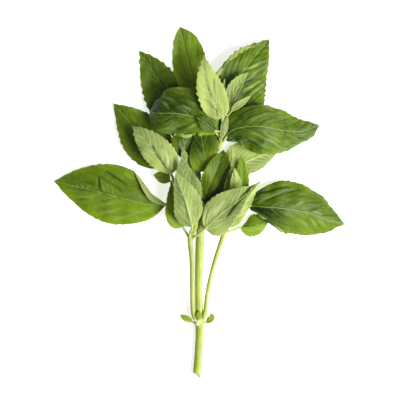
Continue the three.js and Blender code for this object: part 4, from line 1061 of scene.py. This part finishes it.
class Nodes:
    """A new material's nodes. Its methods add one or a few nodes, and return their output."""

    def __init__(self, name):
        self.material = bpy.data.materials.new(name)
        self.material.use_nodes = True
        self.tree = self.material.node_tree
        self.tree.nodes.clear()
        self.place = self.add("ShaderNodeTexCoord").outputs["Object"]

    def add(self, kind, inputs=None, **settings):
        """A node with its settings, and with each of its inputs linked or given a value."""
        node = self.tree.nodes.new(kind)
        for key, value in settings.items():
            setattr(node, key, value)
        for key, value in (inputs or {}).items():
            if isinstance(value, bpy.types.NodeSocket):
                self.tree.links.new(value, node.inputs[key])
            else:
                node.inputs[key].default_value = value
        return node

    def math(self, operation, first, second=0.0, third=0.0, clamp=False):
        inputs = {0: first, 1: second, 2: third}
        return self.add("ShaderNodeMath", inputs, operation=operation, use_clamp=clamp).outputs[0]

    def times(self, value, factor, clamp=False):
        return self.math("MULTIPLY", value, factor, clamp=clamp)

    def vary(self, value, pattern, strength, clamp=False):
        """value, changed by a pattern from 0 to 1: by half its strength at most, either way."""
        change = self.math("MULTIPLY_ADD", pattern, strength, -strength / 2)
        return self.math("ADD", value, change, clamp=clamp)

    def ramp(self, value, low, high, to_low=0.0, to_high=1.0):
        """value between low and high, as a smooth step from to_low to to_high."""
        inputs = {"Value": value, "From Min": low, "From Max": high, "To Min": to_low, "To Max": to_high}
        return self.add("ShaderNodeMapRange", inputs, interpolation_type="SMOOTHSTEP").outputs[0]

    def mix(self, factor, first, second, blend="MIX"):
        inputs = {"Factor": factor}
        for socket, colour in ((6, first), (7, second)):
            inputs[socket] = colour if isinstance(colour, bpy.types.NodeSocket) else (*colour, 1)
        return self.add("ShaderNodeMix", inputs, data_type="RGBA", blend_type=blend).outputs[2]

    def read(self, name):
        return self.add("ShaderNodeAttribute", attribute_name=name).outputs["Fac"]

    def noise(self, scale, detail=3.0, roughness=0.5, place=None):
        place = self.place if place is None else place
        inputs = {"Vector": place, "Scale": scale, "Detail": detail, "Roughness": roughness}
        return self.add("ShaderNodeTexNoise", inputs).outputs["Fac"]

    def finish(self, colour, roughness, height, look):
        """The material: a glossy skin over a body that lets some light through."""
        relief = {"Height": height, "Strength": 1.0, "Distance": BUMP_UNIT}
        bump = self.add("ShaderNodeBump", relief).outputs[0]
        skin = {"Base Color": colour, "Roughness": roughness, "Specular IOR Level": look["gloss"]}
        shader = self.add("ShaderNodeBsdfPrincipled", {**skin, "Normal": bump}).outputs[0]
        if look["through"]:
            glow = self.mix(1.0, colour, look["glow"], "MULTIPLY")
            glowing = self.add("ShaderNodeBsdfTranslucent", {"Color": glow, "Normal": bump}).outputs[0]
            both = {"Fac": look["through"], 1: shader, 2: glowing}
            shader = self.add("ShaderNodeMixShader", both).outputs[0]
        self.add("ShaderNodeOutputMaterial", {"Surface": shader})
        return self.material


def leaf_face(name, look):
    """One face of a leaf's blade: green patches, midrib, side veins, a fine net of veins, its margin, and
    painted light and shade.
    """
    nodes = Nodes(name)
    from_rib = nodes.read("from_rib")
    edge = nodes.read("edge")
    rib = nodes.read("rib")

    off_vein = nodes.times(nodes.math("PINGPONG", nodes.read("vein"), 0.5), nodes.read("vein_gap"))
    thinned = VEIN_THINNING * look["vein_width"]
    vein_width = nodes.ramp(edge, VEIN_THINS_FROM, 1.0, look["vein_width"], thinned)
    side_vein = nodes.ramp(off_vein, 0.0, vein_width, 1.0, 0.0)
    off_rib = nodes.math("ABSOLUTE", from_rib)
    midrib = nodes.ramp(off_rib, RIB_CORE * look["rib_width"], look["rib_width"], 1.0, 0.0)
    light_rib = nodes.times(midrib, rib, clamp=True)
    vein = nodes.math("MAXIMUM", nodes.times(side_vein, look["side_share"]), light_rib)
    # Below 0 a midrib is darkened with painted shade, as in a groove.
    painted_rib_shade = nodes.times(midrib, nodes.times(rib, -1.0), clamp=True)
    net, pillow = small_veins(nodes, nodes.read("along"), from_rib, look)

    specks = nodes.noise(SPECK_SCALE, roughness=0.6)
    tone = nodes.vary(nodes.read("tone"), nodes.noise(PATCH_SCALE), BLOTCHINESS)
    tone = nodes.vary(tone, specks, BLOTCHINESS)
    # Painted light on each bulge, and painted shade between the bulges.
    tone = nodes.vary(tone, nodes.read("bulge"), BULGE_PAINTED_LIGHT)
    # Lighter towards the margin: partly the blade's own paler edge, partly painted light.
    tone = nodes.math("ADD", tone, nodes.ramp(edge, EDGE_LIGHT_FROM, 1.0, 0.0, EDGE_LIGHT))
    colour = nodes.mix(nodes.math("MAXIMUM", tone, 0.0, clamp=True), look["dark"], look["light"])
    near_edge = nodes.ramp(nodes.read("edge_gap"), 0.0, MARGIN_WIDTH, look["margin_share"], 0.0)
    # Beyond 1 the tone turns pale, partly painted light; the sheen is a painted highlight, and the rib's
    # shade and a tone below 0 are painted shade.
    layers = (
        (nodes.times(nodes.math("SUBTRACT", tone, 1.0, clamp=True), PALE_SHARE), "vein"),
        (nodes.times(nodes.read("painted_sheen"), 1.0, clamp=True), "painted_sheen"),
        (nodes.times(net, look["net_share"]), "net"),
        (nodes.times(vein, look["vein_share"]), "vein"),
        (painted_rib_shade, "shade"),
        (near_edge, "vein"),
        (nodes.times(tone, -1.0, clamp=True), "shade"),
    )
    for share, layer in layers:
        colour = nodes.mix(share, colour, look[layer])

    grain = nodes.times(nodes.noise(GRAIN_SCALE, detail=2.0), LEAF_GRAIN)
    height = nodes.math("MULTIPLY_ADD", vein, look["vein_height"], grain)
    height = nodes.math("MULTIPLY_ADD", pillow, look["net_height"], height)
    return nodes.finish(colour, nodes.vary(look["roughness"], specks, GLOSS_SPREAD), height, look)


def small_veins(nodes, along, from_rib, look):
    """A fine net of veins, and the pillows between them, each from 0 to 1."""
    wobble = nodes.times(nodes.noise(WOBBLE_SCALE, detail=2.0), NET_WOBBLE)
    flat = {"X": nodes.math("ADD", along, wobble), "Y": nodes.math("ADD", from_rib, wobble)}
    flat_place = nodes.add("ShaderNodeCombineXYZ", flat).outputs[0]
    inputs = {"Vector": flat_place, "Scale": 1 / look["net_cell"]}
    cells = nodes.add("ShaderNodeTexVoronoi", inputs, feature="DISTANCE_TO_EDGE", voronoi_dimensions="2D")
    from_line = cells.outputs["Distance"]
    return nodes.ramp(from_line, 0.0, NET_LINE, 1.0, 0.0), nodes.ramp(from_line, 0.0, 0.5)


def stalk_skin(name, look):
    """The skin of a stalk or stem: pale streaks along it over green, fine ribs, and on a stem a darker side
    that is partly painted shade.
    """
    nodes = Nodes(name)
    stretch = {"Vector": nodes.place, "Scale": (1, STREAK_STRETCH, 1)}
    stretched = nodes.add("ShaderNodeMapping", stretch).outputs[0]
    streaks = nodes.noise(STREAK_SCALE, place=stretched)
    tone = nodes.vary(nodes.noise(STALK_PATCH_SCALE), streaks, STREAKINESS, clamp=True)
    # A stem's band: darker on one side, partly its own darker edge and partly painted shade away from the key
    # light.
    if "band" in look:
        facing = nodes.math("COSINE", nodes.math("SUBTRACT", nodes.read("around"), look["band_turn"]))
        tone = nodes.math("SUBTRACT", tone, nodes.ramp(facing, *BAND_EDGE, 0.0, look["band"]), clamp=True)
    colour = nodes.mix(tone, look["dark"], look["light"])
    for mark in look.get("marks", ()):
        ends = {0: nodes.place, 1: mark["place"]}
        gap = nodes.add("ShaderNodeVectorMath", ends, operation="DISTANCE").outputs["Value"]
        share = nodes.ramp(gap, MARK_CORE * mark["reach"], mark["reach"], 1.0, 0.0)
        colour = nodes.mix(share, colour, mark["colour"])
    grain = nodes.times(nodes.noise(GRAIN_SCALE, detail=2.0), STALK_GRAIN)
    height = nodes.math("MULTIPLY_ADD", streaks, STREAK_HEIGHT, grain)
    return nodes.finish(colour, nodes.vary(look["roughness"], streaks, STALK_GLOSS_SPREAD), height, look)


def cut_stem(name, look):
    """The stem's cut end: a green ring round pale, spongy pith."""
    nodes = Nodes(name)
    pith = nodes.noise(PITH_SCALE)
    colour = nodes.mix(pith, look["dark"], look["light"])
    colour = nodes.mix(nodes.ramp(nodes.read("inner"), *RING_EDGE), colour, look["ring"])
    roughness = nodes.vary(look["roughness"], pith, STALK_GLOSS_SPREAD)
    return nodes.finish(colour, roughness, nodes.times(pith, PITH_HEIGHT), look)


def floor_material():
    nodes = Nodes("pale_floor")
    surface = {
        "Base Color": nodes.mix(nodes.noise(CLOUD_SCALE, detail=2.0), *FLOOR_GREYS),
        "Roughness": 0.9,
        "Specular IOR Level": 0.1,
        "Emission Color": (1, 1, 1, 1),
        "Emission Strength": FLOOR_GLOW,
    }
    shader = nodes.add("ShaderNodeBsdfPrincipled", surface)
    nodes.add("ShaderNodeOutputMaterial", {"Surface": shader.outputs[0]})
    return nodes.material


# ---------------------------------------------------------------- floor, light and camera


def add_floor():
    half = FLOOR_SIDE / 2
    corners = ((-half, -half), (half, -half), (half, half), (-half, half))
    points = np.array([(x, y, FLOOR_DROP) for x, y in corners])
    floor = make_mesh("floor", points, [(np.array([[0, 1, 2, 3]]), 0)], {}, [floor_material()])


def add_light():
    world = bpy.data.worlds.new("studio")
    world.use_nodes = True
    background = world.node_tree.nodes["Background"]
    background.inputs["Color"].default_value = (1, 1, 1, 1)
    background.inputs["Strength"].default_value = WORLD_STRENGTH
    bpy.context.scene.world = world
    light = bpy.data.lights.new("soft_box", "AREA")
    light.energy = KEY_POWER
    light.size = KEY_SIZE
    lamp = bpy.data.objects.new("soft_box", light)
    lamp.location = KEY_PLACE
    lamp.rotation_euler = (-Vector(KEY_PLACE)).to_track_quat("-Z", "Y").to_euler()
    bpy.context.scene.collection.objects.link(lamp)


def add_camera():
    """Straight down, with VIEW_WIDTH from side to side of its view."""
    data = bpy.data.cameras.new("camera")
    data.sensor_width = SENSOR_WIDTH * MM_IN_METRE
    data.lens = data.sensor_width * (CAMERA_PLACE[2] - BUNCH_HEIGHT) / VIEW_WIDTH
    camera = bpy.data.objects.new("camera", data)
    camera.location = CAMERA_PLACE
    bpy.context.scene.collection.objects.link(camera)
    bpy.context.scene.camera = camera


# ---------------------------------------------------------------- the scene

rng = np.random.default_rng(SEED)
leaf_materials = [
    leaf_face("leaf_upper", UPPER_LOOK),
    leaf_face("leaf_underside", UNDER_LOOK),
    stalk_skin("leaf_stalk", STALK_LOOK),
]
stem_materials = [stalk_skin("stem", STEM_LOOK), cut_stem("stem_cut", CUT_LOOK)]
for name, leaf in LEAVES.items():
    add_leaf(name, leaf, leaf_materials, rng)
for name, points in STEMS.items():
    add_stem(name, points, stem_materials, rng)
for name, leaf in BUDS.items():
    add_leaf(name, leaf, leaf_materials, rng, in_cad=False)
add_floor()
add_light()
add_camera()
bpy.context.scene.view_settings.view_transform = "Standard"
